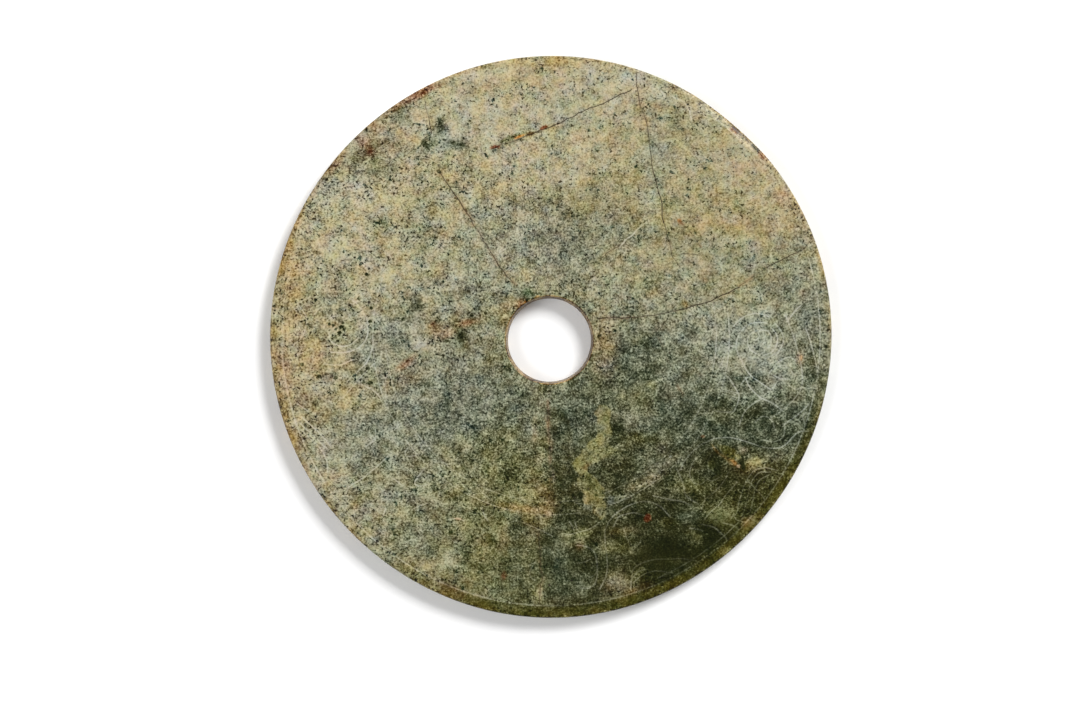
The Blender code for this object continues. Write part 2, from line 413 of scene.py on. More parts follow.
CRACK_LINES = [
    # points, seed of the noise, depth and half width in metres, darkness, rust
    ([(-0.396, 0.586), (-0.285, 0.415), (-0.185, 0.255), (-0.131, 0.182)], 11, 0.00009, 0.0004, 0.80, 0.4),
    ([(-0.449, 0.836), (-0.424, 0.722)], 12, 0.00009, 0.00036, 1.0, 0.5),
    ([(0.303, 0.949), (0.310, 0.850), (0.340, 0.760)], 13, 0.0001, 0.00036, 1.0, 0.2),
    ([(0.340, 0.760), (0.350, 0.690), (0.362, 0.590)], 25, 0.00006, 0.00034, 0.8, 0),
    ([(0.362, 0.590), (0.373, 0.558), (0.390, 0.493), (0.402, 0.405)], 21, 0.0001, 0.00038, 1.0, 0.15),
    ([(0.402, 0.405), (0.411, 0.371), (0.434, 0.281), (0.454, 0.255)], 26, 0.00004, 0.00032, 0.65, 0),
    ([(0.457, 0.413), (0.483, 0.390), (0.509, 0.358), (0.531, 0.319)], 27, 0.00003, 0.0003, 0.3, 1.0),
    ([(0.470, 0.297), (0.521, 0.290)], 28, 0.00005, 0.00034, 0.85, 0),
    ([(0.245, 0.323), (0.180, 0.281)], 29, 0.00004, 0.00032, 0.6, 0.2),
    ([(0.171, 0.063), (0.368, 0.073), (0.495, 0.106), (0.545, 0.119)], 14, 0.00012, 0.0004, 1.0, 0.35),
    ([(0.545, 0.119), (0.602, 0.141), (0.666, 0.173)], 23, 0.00010, 0.00038, 1.0, 0.3),
    ([(0.666, 0.173), (0.730, 0.216), (0.766, 0.248)], 24, 0.00004, 0.0003, 0.3, 0.5),
    ([(0.766, 0.248), (0.858, 0.291), (0.894, 0.308), (0.930, 0.344)], 15, 0.00008, 0.00034, 0.8, 0.2),
    ([(-0.207, 0.668), (-0.103, 0.707), (0.011, 0.752)], 16, 0.00012, 0.0004, 0.8, 0.3),
    ([(0.011, 0.752), (0.135, 0.811), (0.287, 0.876)], 22, 0.00012, 0.00036, 0.9, 0),
    ([(-0.010, -0.226), (-0.011, -0.347), (0.003, -0.479), (-0.010, -0.600)], 17, 0.00007, 0.0003, 0.3, 0.5),
    ([(-0.046, -0.696), (-0.032, -0.860), (-0.044, -0.955)], 18, 0.00012, 0.0003, 0.5, 0.3),
    ([(0.374, 0.031), (0.417, -0.094), (0.466, -0.201)], 19, 0.00007, 0.0003, 0.35, 0.3),
]
CRACKS = [(natural_line(points, seed), *looks) for points, seed, *looks in CRACK_LINES]
print(f"{len(CRACKS)} stretches of crack")

# %% Thin pale veins, healed cracks level with the face
VEINS = [
    # points, seed of the noise, half width in metres, paleness
    ([(0.380, 0.889), (0.402, 0.860)], 31, 0.00055, 1.0),
    ([(0.438, 0.853), (0.483, 0.831), (0.493, 0.805), (0.499, 0.773)], 32, 0.00055, 1.0),
    ([(0.348, 0.419), (0.303, 0.374), (0.245, 0.323)], 33, 0.00050, 0.9),
]
CUTS += [(natural_line(points, seed), 0.0, half_width, pale) for points, seed, half_width, pale in VEINS]
print(f"{len(VEINS)} veins")

# %% Zones with an outline of their own, as a map-maker would draw them
# Corners as shares of the radius across and up the face, colour, strength, how much noise is left inside, and
# over how many metres the zone fades in from its outline (0 for a crisp one)
ISLAND = [
    (0.195, -0.243), (0.170, -0.245), (0.150, -0.275), (0.163, -0.290), (0.160, -0.320), (0.165, -0.345),
    (0.158, -0.360), (0.135, -0.375), (0.128, -0.388), (0.112, -0.400), (0.103, -0.420), (0.085, -0.435),
    (0.073, -0.450), (0.085, -0.472), (0.100, -0.486), (0.105, -0.495), (0.091, -0.505), (0.093, -0.530),
    (0.105, -0.545), (0.118, -0.560), (0.113, -0.585), (0.120, -0.600), (0.145, -0.603), (0.148, -0.625),
    (0.170, -0.640), (0.178, -0.652), (0.195, -0.640), (0.197, -0.600), (0.187, -0.580), (0.195, -0.555),
    (0.180, -0.525), (0.155, -0.500), (0.132, -0.485), (0.130, -0.465), (0.155, -0.450), (0.195, -0.435),
    (0.235, -0.428), (0.242, -0.405), (0.212, -0.393), (0.207, -0.370), (0.216, -0.350), (0.210, -0.310),
    (0.216, -0.285), (0.210, -0.255),
]

# How many of the island's first points run down its left shore, where its edge is crisp
ISLAND_SHORE = 26
ZONES = [
    # beside and in the pale island
    (
        [(0.095, -0.375), (0.125, -0.350), (0.165, -0.338), (0.155, -0.362), (0.120, -0.390)],
        "night", 0.7, 0.8, 0,
    ),
    (
        [(0.060, -0.500), (0.080, -0.482), (0.105, -0.495), (0.092, -0.512), (0.072, -0.515)],
        "night", 0.7, 0.8, 0,
    ),
    (
        [(0.100, -0.550), (0.118, -0.560), (0.120, -0.590), (0.108, -0.600), (0.100, -0.575)],
        "night", 0.6, 0.9, 0,
    ),
    ([(0.120, -0.600), (0.152, -0.606), (0.156, -0.622), (0.126, -0.618)], "mist", 0.6, 0.8, 0),
    (
        [(0.205, -0.565), (0.222, -0.570), (0.225, -0.590), (0.208, -0.596), (0.198, -0.582)],
        "slate", 0.7, 0.7, 0,
    ),
    (ISLAND, "straw", 1.0, 0.6, 0),
    # the dark glass at the lower right and the clearer pieces in it
    (
        [
            (0.290, -0.760), (0.350, -0.715), (0.400, -0.695), (0.445, -0.700), (0.470, -0.735),
            (0.530, -0.745), (0.545, -0.705), (0.560, -0.676), (0.605, -0.700), (0.645, -0.700),
            (0.605, -0.760), (0.520, -0.818), (0.440, -0.855), (0.360, -0.870), (0.320, -0.825),
            (0.270, -0.800),
        ],
        "night", 0.45, 0.6, 0.004,
    ),
    (
        [
            (0.530, -0.625), (0.560, -0.600), (0.610, -0.600), (0.655, -0.625), (0.690, -0.672),
            (0.680, -0.700), (0.640, -0.712), (0.606, -0.698), (0.570, -0.675),
        ],
        "moss", 0.45, 0.65, 0.004,
    ),
    (
        [(0.465, -0.690), (0.500, -0.684), (0.545, -0.702), (0.535, -0.737), (0.490, -0.735)],
        "olive", 0.6, 0.65, 0.0015,
    ),
    (
        [(0.445, -0.625), (0.500, -0.615), (0.520, -0.640), (0.480, -0.662), (0.450, -0.655)],
        "bottle", 0.6, 0.6, 0.003,
    ),
    (
        [(0.660, -0.630), (0.712, -0.630), (0.752, -0.648), (0.712, -0.706), (0.682, -0.700)],
        "ochre", 0.5, 0.7, 0.003,
    ),
    # the dark green stone right of the seam
    (
        [
            (-0.004, -0.240), (0.035, -0.250), (0.070, -0.300), (0.085, -0.360), (0.072, -0.420),
            (0.058, -0.460), (0.055, -0.520), (0.022, -0.540), (0.012, -0.520), (0.006, -0.450),
            (0.000, -0.400), (-0.006, -0.350), (-0.014, -0.306),
        ],
        "pine", 0.5, 0.9, 0.001,
    ),
    (
        [(-0.035, -0.700), (0.005, -0.690), (0.020, -0.760), (0.012, -0.830), (-0.022, -0.840)],
        "pine", 0.4, 0.9, 0.001,
    ),
    # the ochre pocket
    (
        [
            (0.572, -0.372), (0.600, -0.383), (0.640, -0.385), (0.668, -0.405), (0.652, -0.446),
            (0.610, -0.424),
        ],
        "bark", 0.7, 0.8, 0.001,
    ),
    (
        [
            (0.570, -0.382), (0.582, -0.392), (0.600, -0.418), (0.630, -0.430), (0.664, -0.450),
            (0.654, -0.468), (0.638, -0.456), (0.620, -0.440), (0.594, -0.426), (0.578, -0.402),
        ],
        "ochre", 0.5, 0.8, 0,
    ),
    ([(0.638, -0.440), (0.655, -0.445), (0.664, -0.456), (0.652, -0.462)], "orange", 0.45, 0.8, 0),
    (
        [(0.655, -0.424), (0.668, -0.416), (0.682, -0.422), (0.678, -0.433), (0.662, -0.438)],
        "honey", 0.8, 0.6, 0,
    ),
    (
        [(0.672, -0.446), (0.686, -0.440), (0.692, -0.462), (0.688, -0.477), (0.676, -0.466)],
        "night", 0.85, 0.5, 0,
    ),
    (
        [(0.598, -0.440), (0.616, -0.450), (0.600, -0.478), (0.618, -0.502), (0.560, -0.496)],
        "night", 0.7, 0.7, 0.001,
    ),
    (
        [(0.560, -0.446), (0.578, -0.440), (0.590, -0.456), (0.578, -0.476), (0.562, -0.468)],
        "moss", 0.6, 0.6, 0,
    ),
    (
        [(0.700, -0.438), (0.736, -0.420), (0.756, -0.442), (0.742, -0.462), (0.712, -0.464)],
        "honey", 0.5, 0.7, 0.001,
    ),
]

# Stains on the island: place, reach each way, turn in degrees, colour and strength
ISLAND_STAINS = [
    (0.145, -0.380, 0.022, 0.016, 0, "mist", 0.35),
    (0.135, -0.520, 0.026, 0.020, 0, "bark", 0.35),
    (0.153, -0.568, 0.030, 0.030, 0, "umber", 0.20),
    (0.180, -0.265, 0.034, 0.026, 0, "blush", 0.50),
    (0.205, -0.300, 0.026, 0.050, 0, "moss", 0.70),
    (0.185, -0.325, 0.026, 0.018, 0, "slate", 0.60),
    (0.160, -0.388, 0.036, 0.030, 20, "honey", 0.60),
    (0.200, -0.380, 0.016, 0.026, 0, "olive", 0.50),
    (0.222, -0.415, 0.026, 0.018, 0, "moss", 0.50),
    (0.125, -0.435, 0.040, 0.022, 35, "moss", 0.55),
    (0.128, -0.462, 0.018, 0.010, 20, "umber", 0.60),
    (0.130, -0.520, 0.030, 0.020, 0, "moss", 0.60),
    (0.125, -0.580, 0.018, 0.024, 0, "tan", 0.70),
    (0.165, -0.560, 0.026, 0.034, 0, "moss", 0.45),
    (0.175, -0.625, 0.030, 0.026, 0, "blush", 0.55),
    (0.190, -0.590, 0.016, 0.060, 0, "moss", 0.40),
]

# How far a row of points lies inside and outside each zone's outline
ZONE_EDGE = 0.00025

# Fields where the stone is quieter: place and reach as shares of the radius, and how much noise is taken
# out
QUIET_FIELDS = [
    (0.55, 0.50, 0.50, 0.40, 0.26),
    (0.00, 0.88, 0.60, 0.24, 0.18),
    (0.05, -0.85, 0.50, 0.26, 0.20),
    (0.60, -0.65, 0.30, 0.24, 0.12),
    (0.75, -0.01, 0.16, 0.16, 0.05),
    (0.66, 0.66, 0.10, 0.08, 0.25),
    (-0.459, -0.042, 0.024, 0.020, 0.70),
    (0.500, 0.300, 0.14, 0.10, 0.22),
    (0.700, 0.300, 0.10, 0.10, 0.12),
    (0.100, 0.500, 0.12, 0.12, 0.14),
    (-0.300, -0.900, 0.12, 0.08, 0.14),
    (0.100, 0.900, 0.14, 0.08, 0.08),
    # below nought, the noise swings wider
    (-0.860, 0.480, 0.12, 0.12, -0.30),
    (-0.700, 0.520, 0.12, 0.08, -0.14),
    (-0.520, 0.880, 0.12, 0.08, -0.18),
]
print(f"{len(ZONES)} zones")

# %% Pits that grinding has opened, scattered at random
PIT_COUNT = 90


def scattered_pits():
    """Places, radii and depths of the pits: even directions, distances by the square root for even cover."""
    chance = np.random.default_rng(61)
    turn = chance.uniform(-math.pi, math.pi, PIT_COUNT)
    out = RADIUS * np.sqrt(chance.uniform(0.04, 0.85, PIT_COUNT))
    size = chance.uniform(0.00030, 0.00085, PIT_COUNT)
    middles = np.stack([out * np.cos(turn), out * np.sin(turn)], axis=-1)
    return middles, size, size * chance.uniform(0.15, 0.32, PIT_COUNT)


PITS, PIT_SIZES, PIT_DEPTHS = scattered_pits()
print(f"{PIT_COUNT} pits, the widest {2000 * PIT_SIZES.max():.1f} mm")

# %% Stains and inclusions with a sharp edge of their own
# Place as shares of the radius, reach in metres each way, turn in degrees, colour and strength
INCLUSIONS = [
    ((0.3437, -0.6464), 0.00220, 0.00170, 60, "clay", 0.7),
    ((0.3437, -0.6464), 0.00160, 0.00110, 60, "brick", 1.0),
    ((0.646, -0.425), 0.0009, 0.0006, 0, "night", 0.8),
    ((0.668, -0.462), 0.0011, 0.0008, 30, "peach", 0.8),
    ((0.541, -0.356), 0.0011, 0.0008, 0, "rust", 0.5),
    ((0.425, -0.426), 0.0009, 0.0007, 0, "slate", 0.8),
    ((0.200, -0.578), 0.0014, 0.0007, 0, "night", 0.6),
    ((0.442, 0.893), 0.0012, 0.0007, -25, "rust", 0.6),
    ((0.457, 0.413), 0.0011, 0.0009, -30, "orange", 0.5),
    ((-0.332, -0.649), 0.0017, 0.0006, -5, "tan", 0.8),
    ((-0.142, 0.708), 0.0060, 0.0011, 22, "moss", 0.8),
    ((-0.113, 0.712), 0.0026, 0.0006, 20, "orange", 0.9),
    ((-0.075, 0.722), 0.0024, 0.0009, 15, "umber", 0.8),
    ((-0.026, 0.744), 0.0020, 0.0009, 25, "redwood", 0.9),
    ((-0.200, 0.675), 0.0026, 0.0006, 12, "redwood", 0.85),
    ((-0.368, 0.558), 0.0008, 0.0007, 0, "umber", 0.9),
    ((-0.475, 0.455), 0.0010, 0.0008, 0, "night", 0.5),
    ((-0.090, 0.120), 0.0011, 0.0008, 20, "orange", 0.9),
    ((-0.050, 0.142), 0.0013, 0.0006, 20, "orange", 0.5),
    ((0.891, -0.076), 0.0008, 0.0014, 0, "orange", 0.3),
    # blue-black clots at the upper left
    ((-0.394, 0.765), 0.0011, 0.0024, 10, "night", 0.40),
    ((-0.385, 0.742), 0.0010, 0.0012, 0, "night", 0.40),
    ((-0.450, 0.688), 0.0014, 0.0020, 30, "night", 0.80),
    ((-0.441, 0.668), 0.0010, 0.0012, 0, "night", 0.60),
    ((-0.345, 0.690), 0.0022, 0.0009, -15, "night", 0.55),
    ((-0.318, 0.683), 0.0012, 0.0011, 0, "night", 0.60),
    ((-0.398, 0.586), 0.0010, 0.0009, 0, "night", 0.80),
    ((-0.322, 0.004), 0.0014, 0.0017, 0, "night", 0.70),
    ((-0.282, 0.075), 0.0011, 0.0008, -20, "night", 0.70),
    # dark clots in and around the coil on the left
    ((-0.790, 0.044), 0.0008, 0.0007, 0, "night", 0.9),
    ((-0.776, 0.040), 0.0007, 0.0008, 0, "night", 0.8),
    ((-0.747, 0.034), 0.0013, 0.0010, 30, "night", 1.0),
    ((-0.736, 0.026), 0.0009, 0.0010, 0, "night", 0.9),
    ((-0.754, 0.013), 0.0010, 0.0008, 0, "night", 0.95),
    ((-0.767, 0.026), 0.0007, 0.0007, 0, "night", 0.9),
    ((-0.741, 0.048), 0.0007, 0.0006, 0, "night", 0.8),
    ((-0.657, 0.222), 0.0009, 0.0008, 0, "night", 0.9),
    ((-0.645, 0.054), 0.0010, 0.0009, 20, "night", 0.9),
    ((-0.640, 0.101), 0.0008, 0.0008, 0, "night", 0.85),
    ((-0.685, 0.135), 0.0010, 0.0009, 0, "pine", 0.85),
    ((-0.652, -0.114), 0.0012, 0.0009, 0, "night", 0.9),
    ((-0.645, -0.165), 0.0015, 0.0009, 10, "night", 0.85),
    ((-0.668, -0.163), 0.0009, 0.0008, 0, "pine", 0.9),
    ((-0.826, -0.142), 0.0010, 0.0010, 0, "pine", 0.85),
    ((-0.765, -0.147), 0.0010, 0.0008, 0, "pine", 0.9),
    ((-0.527, 0.062), 0.0010, 0.0009, 0, "night", 0.9),
    ((-0.887, -0.099), 0.0010, 0.0009, 0, "pine", 0.8),
]

# Thin stains along the rim, some of which run over its corner. The dark ones along the worn flat are stains
# with painted shade of its chipped edge
RIM_STAINS_AND_SHADE = [
    ((0.603, 0.779), 0.0014, 0.0010, -37, "moss", 0.9),
    ((0.597, 0.775), 0.0008, 0.0007, 0, "umber", 0.8),
    ((0.680, 0.700), 0.0080, 0.0016, -45, "tan", 0.5),
    ((0.715, 0.664), 0.0050, 0.0014, -47, "tan", 0.5),
    # painted shade in stain colours: the next five darken the chipped edge of the worn flat
    ((0.656, 0.733), 0.0024, 0.0009, -48, "rust", 0.95),
    ((0.6644, 0.7353), 0.0038, 0.0007, -42, "umber", 0.8),
    ((0.702, 0.6995), 0.0038, 0.0007, -45, "umber", 0.7),
    ((0.729, 0.672), 0.0036, 0.0009, -47, "pine", 0.8),
    ((0.7510, 0.646), 0.0022, 0.0006, -49, "redwood", 0.6),
    ((0.700, -0.662), 0.0052, 0.0020, 44, "tan", 0.22),
    ((0.722, -0.650), 0.0060, 0.0022, 42, "ochre", 0.24),
]

# %% Distances to lines and ovals, on whole arrays
# How many steps of a path are measured at a time
PIECE = 12


def closeness(spots, path, reach):
    """1 on a path, 0 at reach and beyond: one less the distance to its nearest straight piece over reach.

    The path is taken a few steps at a time, and each stretch only meets the spots in its own small box."""
    close = np.zeros(len(spots))
    for first in range(0, len(path) - 1, PIECE):
        stretch = path[first : first + PIECE + 1]
        boxed = (spots > stretch.min(axis=0) - reach) & (spots < stretch.max(axis=0) + reach)
        inside = np.flatnonzero(boxed.all(axis=1))
        run = np.diff(stretch, axis=0)
        way = spots[inside, None] - stretch[:-1]
        along = np.clip((way * run).sum(axis=-1) / (run**2).sum(axis=-1), 0, 1)
        away = np.linalg.norm(way - along[..., None] * run, axis=-1).min(axis=1)
        close[inside] = np.maximum(close[inside], 1 - away / reach)
    return close


def oval_share(spots, middle, across, up, turn):
    """How far out of a turned oval each spot lies: 0 at its middle and 1 on its edge."""
    cos, sin = math.cos(math.radians(turn)), math.sin(math.radians(turn))
    way = spots - middle
    return np.hypot((way[:, 0] * cos + way[:, 1] * sin) / across, (way[:, 1] * cos - way[:, 0] * sin) / up)


# %% [markdown]
# ## Laying out the carved face
# The lines are about a millimetre wide on a disc of 280 mm. An even grid fine enough for their slopes would
# need over a million faces, so the face isn't made as a grid. Points are laid in five rows along every cut,
# three along every crack and two along the edge of every zone, in rings round every pit and inclusion, and
# in a loose, even scatter between them. A Delaunay triangulation then joins them into one sheet from the
# rim's edge to the hole's mouth.

# %% Points for the sheet
# The scatter's pitch, the points around the rim and the mouth, and how far the mouth's radius wavers
SCATTER = 0.0014
RIM_COUNT = 720
MOUTH_COUNT = 240
MOUTH_WAVER = 0.00008

# The square in which two points count as one, and more squares than lie in a row across the disc
SAME_SPOT = 0.00018
ROW_OF_SQUARES = 100000

# The rows of points along a line, as shares of its half width
CUT_ROWS = (0.0, 0.45, -0.45, 1.0, -1.0)
CRACK_ROWS = (0.0, 1.0, -1.0)
ZONE_ROWS = (1.0, -1.0)


def rows_along(path, half_width, shares):
    """A path's own points, and the same points moved by shares of the half width to its left and right."""
    run = np.gradient(path, axis=0)
    left = np.stack([-run[:, 1], run[:, 0]], axis=-1) / np.linalg.norm(run, axis=1)[:, None]
    return np.vstack([path + share * half_width * left for share in shares])


def rings_around(middle, across, up, turn, shares=(0.0, 0.55, 1.0, 1.3), count=10):
    """Points on ovals inside each other: each share of the oval's reach, at even angles, then turned."""
    angle = np.linspace(0, 2 * math.pi, count, endpoint=False)
    x, y = np.outer(shares, across * np.cos(angle)), np.outer(shares, up * np.sin(angle))
    cos, sin = math.cos(math.radians(turn)), math.sin(math.radians(turn))
    return middle + np.stack([(x * cos - y * sin).ravel(), (x * sin + y * cos).ravel()], axis=-1)


def even_scatter(pitch, seed):
    """Corners of equal triangles over the whole disc, each moved at random by up to a third of the pitch."""
    steps = np.arange(-int(1.2 * RADIUS / pitch), int(1.2 * RADIUS / pitch) + 1)
    i, j = (grid.ravel() for grid in np.meshgrid(steps, steps))
    spots = np.stack([pitch * (i + 0.5 * (j % 2)), pitch * 0.866 * j], axis=-1)
    return spots + np.random.default_rng(seed).uniform(-pitch / 3, pitch / 3, spots.shape)


def face_edge(direction):
    """The radius at which the face ends and the rim's round starts: further in at the worn flat."""
    return rim_radius(direction) - RIM_ROUND - CHIP_INSET * chip_share(direction)


def edge_loop(count):
    """Points around the disc where the face ends."""
    turn = np.linspace(0, 2 * math.pi, count, endpoint=False)
    return np.stack([np.cos(turn), np.sin(turn)], axis=-1) * face_edge(turn)[:, None]


def mouth_loop(count, radius):
    """Points around the hole at a radius that wears unevenly by less than a tenth of a millimetre."""
    turn = np.linspace(0, 2 * math.pi, count, endpoint=False)
    ring = np.stack([np.cos(turn), np.sin(turn)], axis=-1)
    return HOLE_CENTRE + ring * (radius + MOUTH_WAVER * cloud(ring * RADIUS, 0.05, 70))[:, None]


def within_sheet(spots, margin):
    """True where a spot is clear of the rim's rounding and of the hole's mouth by the margin."""
    inside_rim = np.hypot(*spots.T) < face_edge(np.arctan2(spots[:, 1], spots[:, 0])) - margin
    return inside_rim & (np.hypot(*(spots - HOLE_CENTRE).T) > MOUTH_RADIUS + MOUTH_WEAR + margin)


def first_of_each(spots):
    """The spots without repeats: of those that share a small square, only the first is kept."""
    cells = np.round(spots / SAME_SPOT).astype(np.int64)
    firsts = np.unique(cells[:, 0] * ROW_OF_SQUARES + cells[:, 1], return_index=True)[1]
    return spots[np.sort(firsts)]


grooves = [(path, half_width) for path, depth, half_width, *looks in CUTS + CRACKS]
drawn = [rows_along(path, half_width, CUT_ROWS) for path, half_width in grooves[: len(CUTS)]]
drawn += [rows_along(path, half_width, CRACK_ROWS) for path, half_width in grooves[len(CUTS) :]]
zone_edges = [natural_line(zone[0] + zone[0][:1], 70 + i) for i, zone in enumerate(ZONES)]
drawn += [rows_along(edge, ZONE_EDGE, ZONE_ROWS) for edge in zone_edges]
pitted = [rings_around(*pit, pit[1], 0, (0, 0.5, 1), 8) for pit in zip(PITS, PIT_SIZES)]
ringed = [rings_around(RADIUS * np.array(spot[0]), *spot[1:4]) for spot in INCLUSIONS]
laid = first_of_each(np.vstack(drawn + pitted + ringed))
laid = laid[within_sheet(laid, 0.0004)]
loose = even_scatter(SCATTER, 62)
loose = loose[within_sheet(loose, 0.0006)]
crowded = np.zeros(len(loose), bool)
for path, half_width in grooves:
    crowded |= closeness(loose, path, half_width + 0.0005) > 0
loose = loose[~crowded]
print(f"{len(laid)} points along cuts, pits and stains, {len(loose)} in the scatter")

# %% One sheet of triangles between two loops
# The triangulation works in millimetres, where its smallest distances are well above rounding
MILLIMETRES = 1000


def joined_sheet(outer, inner, spots):
    """Delaunay triangles over the points, with the two loops kept as edges and the hole left open."""
    points = np.vstack([outer, inner, spots])
    a, b = len(outer), len(inner)
    loops = [(i, (i + 1) % a) for i in range(a)] + [(a + i, a + (i + 1) % b) for i in range(b)]
    found = delaunay_2d_cdt((MILLIMETRES * points).tolist(), loops, [], 1, 1e-5, False)
    corners, triangles = np.array(found[0]) / MILLIMETRES, np.array(found[2])
    across_hole = ((triangles >= a) & (triangles < a + b)).all(axis=1)
    return corners, triangles[~across_hole]


outer_loop = edge_loop(RIM_COUNT)
inner_loop = mouth_loop(MOUTH_COUNT, MOUTH_RADIUS + MOUTH_WEAR)
face_spots, face_triangles = joined_sheet(outer_loop, inner_loop, np.vstack([laid, loose]))
print(f"the carved face: {len(face_spots)} points, {len(face_triangles)} triangles")

# %% [markdown]
# ## Relief and marks of the carved face
# With the points in place, the height is a formula: the face's level, less a slow roll left by hand
# grinding, less the fall outside the edge ring, less every cut, crack and pit. The same distances say how
# much each point is bruised pale, split dark or stained with rust, and those shares are kept with the mesh
# for the material to read.

# %% The rolling, falling ground of the face
# Heights of the hand-ground roll and its ripple, and how far the ground falls near the mouth, over what reach
ROLL_HEIGHT, RIPPLE_HEIGHT = 0.00005, 0.00001
MOUTH_FALL, MOUTH_REACH = 0.00006, 0.002


def face_fall(spots):
    """How far the ground lies below the top: the roll, the fall to the rim, the worn flat and the mouth."""
    out = np.hypot(*spots.T)
    turn = np.arctan2(spots[:, 1], spots[:, 0])
    edge = face_edge(turn)
    roll = ROLL_HEIGHT * cloud(spots, 0.045, 80) + RIPPLE_HEIGHT * cloud(spots, 0.006, 81)
    to_rim = np.clip((out - EDGE_RING) / (edge - EDGE_RING), 0, 1)
    at_flat = chip_share(turn) * smooth_step(out, edge - 1.6 * RIM_ROUND, edge)
    past_mouth = np.hypot(*(spots - HOLE_CENTRE).T) - MOUTH_RADIUS - MOUTH_WEAR
    to_mouth = np.clip(1 - past_mouth / MOUTH_REACH, 0, 1)
    return roll.max() - roll + UPPER_FALL * to_rim**1.2 + CHIP_DROP * at_flat + MOUTH_FALL * to_mouth**2


# %% The marks on the face
# The least that wear leaves of a mark's strength: of the palest lines, of the others and of a crack
PALE_LEAST, LINE_LEAST, CRACK_LEAST = 0.6, 0.25, 0.25
RUST_SPREAD = 5
PIT_DARKNESS = 0.8


def read_marks(spots):
    """Depth and the shares of bruise, split and rust at each spot: the strongest mark that reaches it."""
    depth, line, split, rust = (np.zeros(len(spots)) for _ in range(4))
    wear = 0.78 + 0.5 * cloud(spots, 0.012, 82)
    patchy = np.clip(0.5 + cloud(spots, 0.01, 83), 0, 1)
    for path, cut_depth, half_width, pale in CUTS:
        close = closeness(spots, path, half_width)
        depth = np.maximum(depth, cut_depth * close)
        least = PALE_LEAST if pale > 0.9 else LINE_LEAST
        line = np.maximum(line, pale * smooth_step(close, 0, 0.62) * np.clip(wear, least, 1))
    for path, crack_depth, half_width, dark, stain in CRACKS:
        close = closeness(spots, path, half_width)
        depth = np.maximum(depth, crack_depth * close)
        split = np.maximum(split, dark * close * np.clip(1.3 * wear - 0.08, CRACK_LEAST, 1))
        spread = closeness(spots, path, RUST_SPREAD * half_width) * patchy
        rust = np.maximum(rust, stain * spread)
    for middle, size, pit_depth in zip(PITS, PIT_SIZES, PIT_DEPTHS):
        share = np.clip(1 - np.linalg.norm(spots - middle, axis=1) / size, 0, 1)
        depth = np.maximum(depth, pit_depth * share)
        split = np.maximum(split, PIT_DARKNESS * share)
    return depth, line, split, rust


face_depth, face_line, face_split, face_rust = read_marks(face_spots)
face_corners = np.column_stack([face_spots, THICKNESS - face_fall(face_spots) - face_depth])
print(f"heights from {1000 * face_corners[:, 2].min():.2f} to {1000 * face_corners[:, 2].max():.2f} mm")

# %% [markdown]
# ## The rim, the hole and the underside
# The rim is a profile carried around the outline: two worn quarter rounds with a low wall between them. The
# hole was drilled from both faces with a tube and wet sand, which leaves two shallow cones that meet at a
# waist, with scoring around them. Each is a grid of direction by step along the profile. The underside is
# plainer: one sheet with a single edge ring and the shallow step where two saw cuts met.

# %% The rim as a profile carried around the outline
# How far noise bites into the rim's edges, inwards and towards the middle of the slab
BITE_IN, BITE_DOWN = 0.00025, 0.00010


def rim_wall():
    """Rim grid of directions by steps: an upper quarter round, then a lower one.

    Radius is the rim's less the round times one less the cosine of the bend; height is the round's middle
    plus the round times its sine. Noise bites into both edges, and the flat lowers the upper one."""
    turn = np.linspace(0, 2 * math.pi, RIM_COUNT, endpoint=False)[:, None]
    bend = np.radians([70, 52, 35, 17, 0, 0, -17, -35, -52, -70])
    upper = np.array([1, 1, 1, 1, 1, 0, 0, 0, 0, 0])
    middle = np.where(upper, THICKNESS - UPPER_FALL - RIM_ROUND, UNDER_FALL + RIM_ROUND)
    flat = chip_share(turn) * upper
    ring = np.hstack([np.cos(turn), np.sin(turn)]) * RADIUS
    bite = np.clip(cloud(ring, 0.009, 84) - 0.1, 0, 1)[:, None] * np.sin(np.abs(bend))
    out = rim_radius(turn) - RIM_ROUND * (1 - np.cos(bend)) - CHIP_INSET * flat - BITE_IN * bite
    up = middle + RIM_ROUND * np.sin(bend) - CHIP_DROP * flat - BITE_DOWN * bite * np.sign(bend)
    return np.stack([out * np.cos(turn), out * np.sin(turn), up], axis=-1)


rim_grid = rim_wall()
print(f"rim: {rim_grid.shape[0]} directions by {rim_grid.shape[1]} steps")

# %% The drilled hole
# The steps down the wall as shares of the thickness, closer near the mouths and the waist
UPPER_STEPS = [0.98, 0.95, 0.90, 0.84, 0.77, 0.70, 0.63, 0.56, 0.50]
LOWER_STEPS = [0.45, 0.40, 0.33, 0.26, 0.18, 0.10, 0.05, 0.02]
MEETING_SHIFT = np.array([0.00022, -0.00012])

# How deep the drill's scoring is, how fast it changes with height, and how slowly around
SCORING_DEPTH, SCORING_SIZE, SCORING_TURN = 0.00006, 0.0011, 0.0016


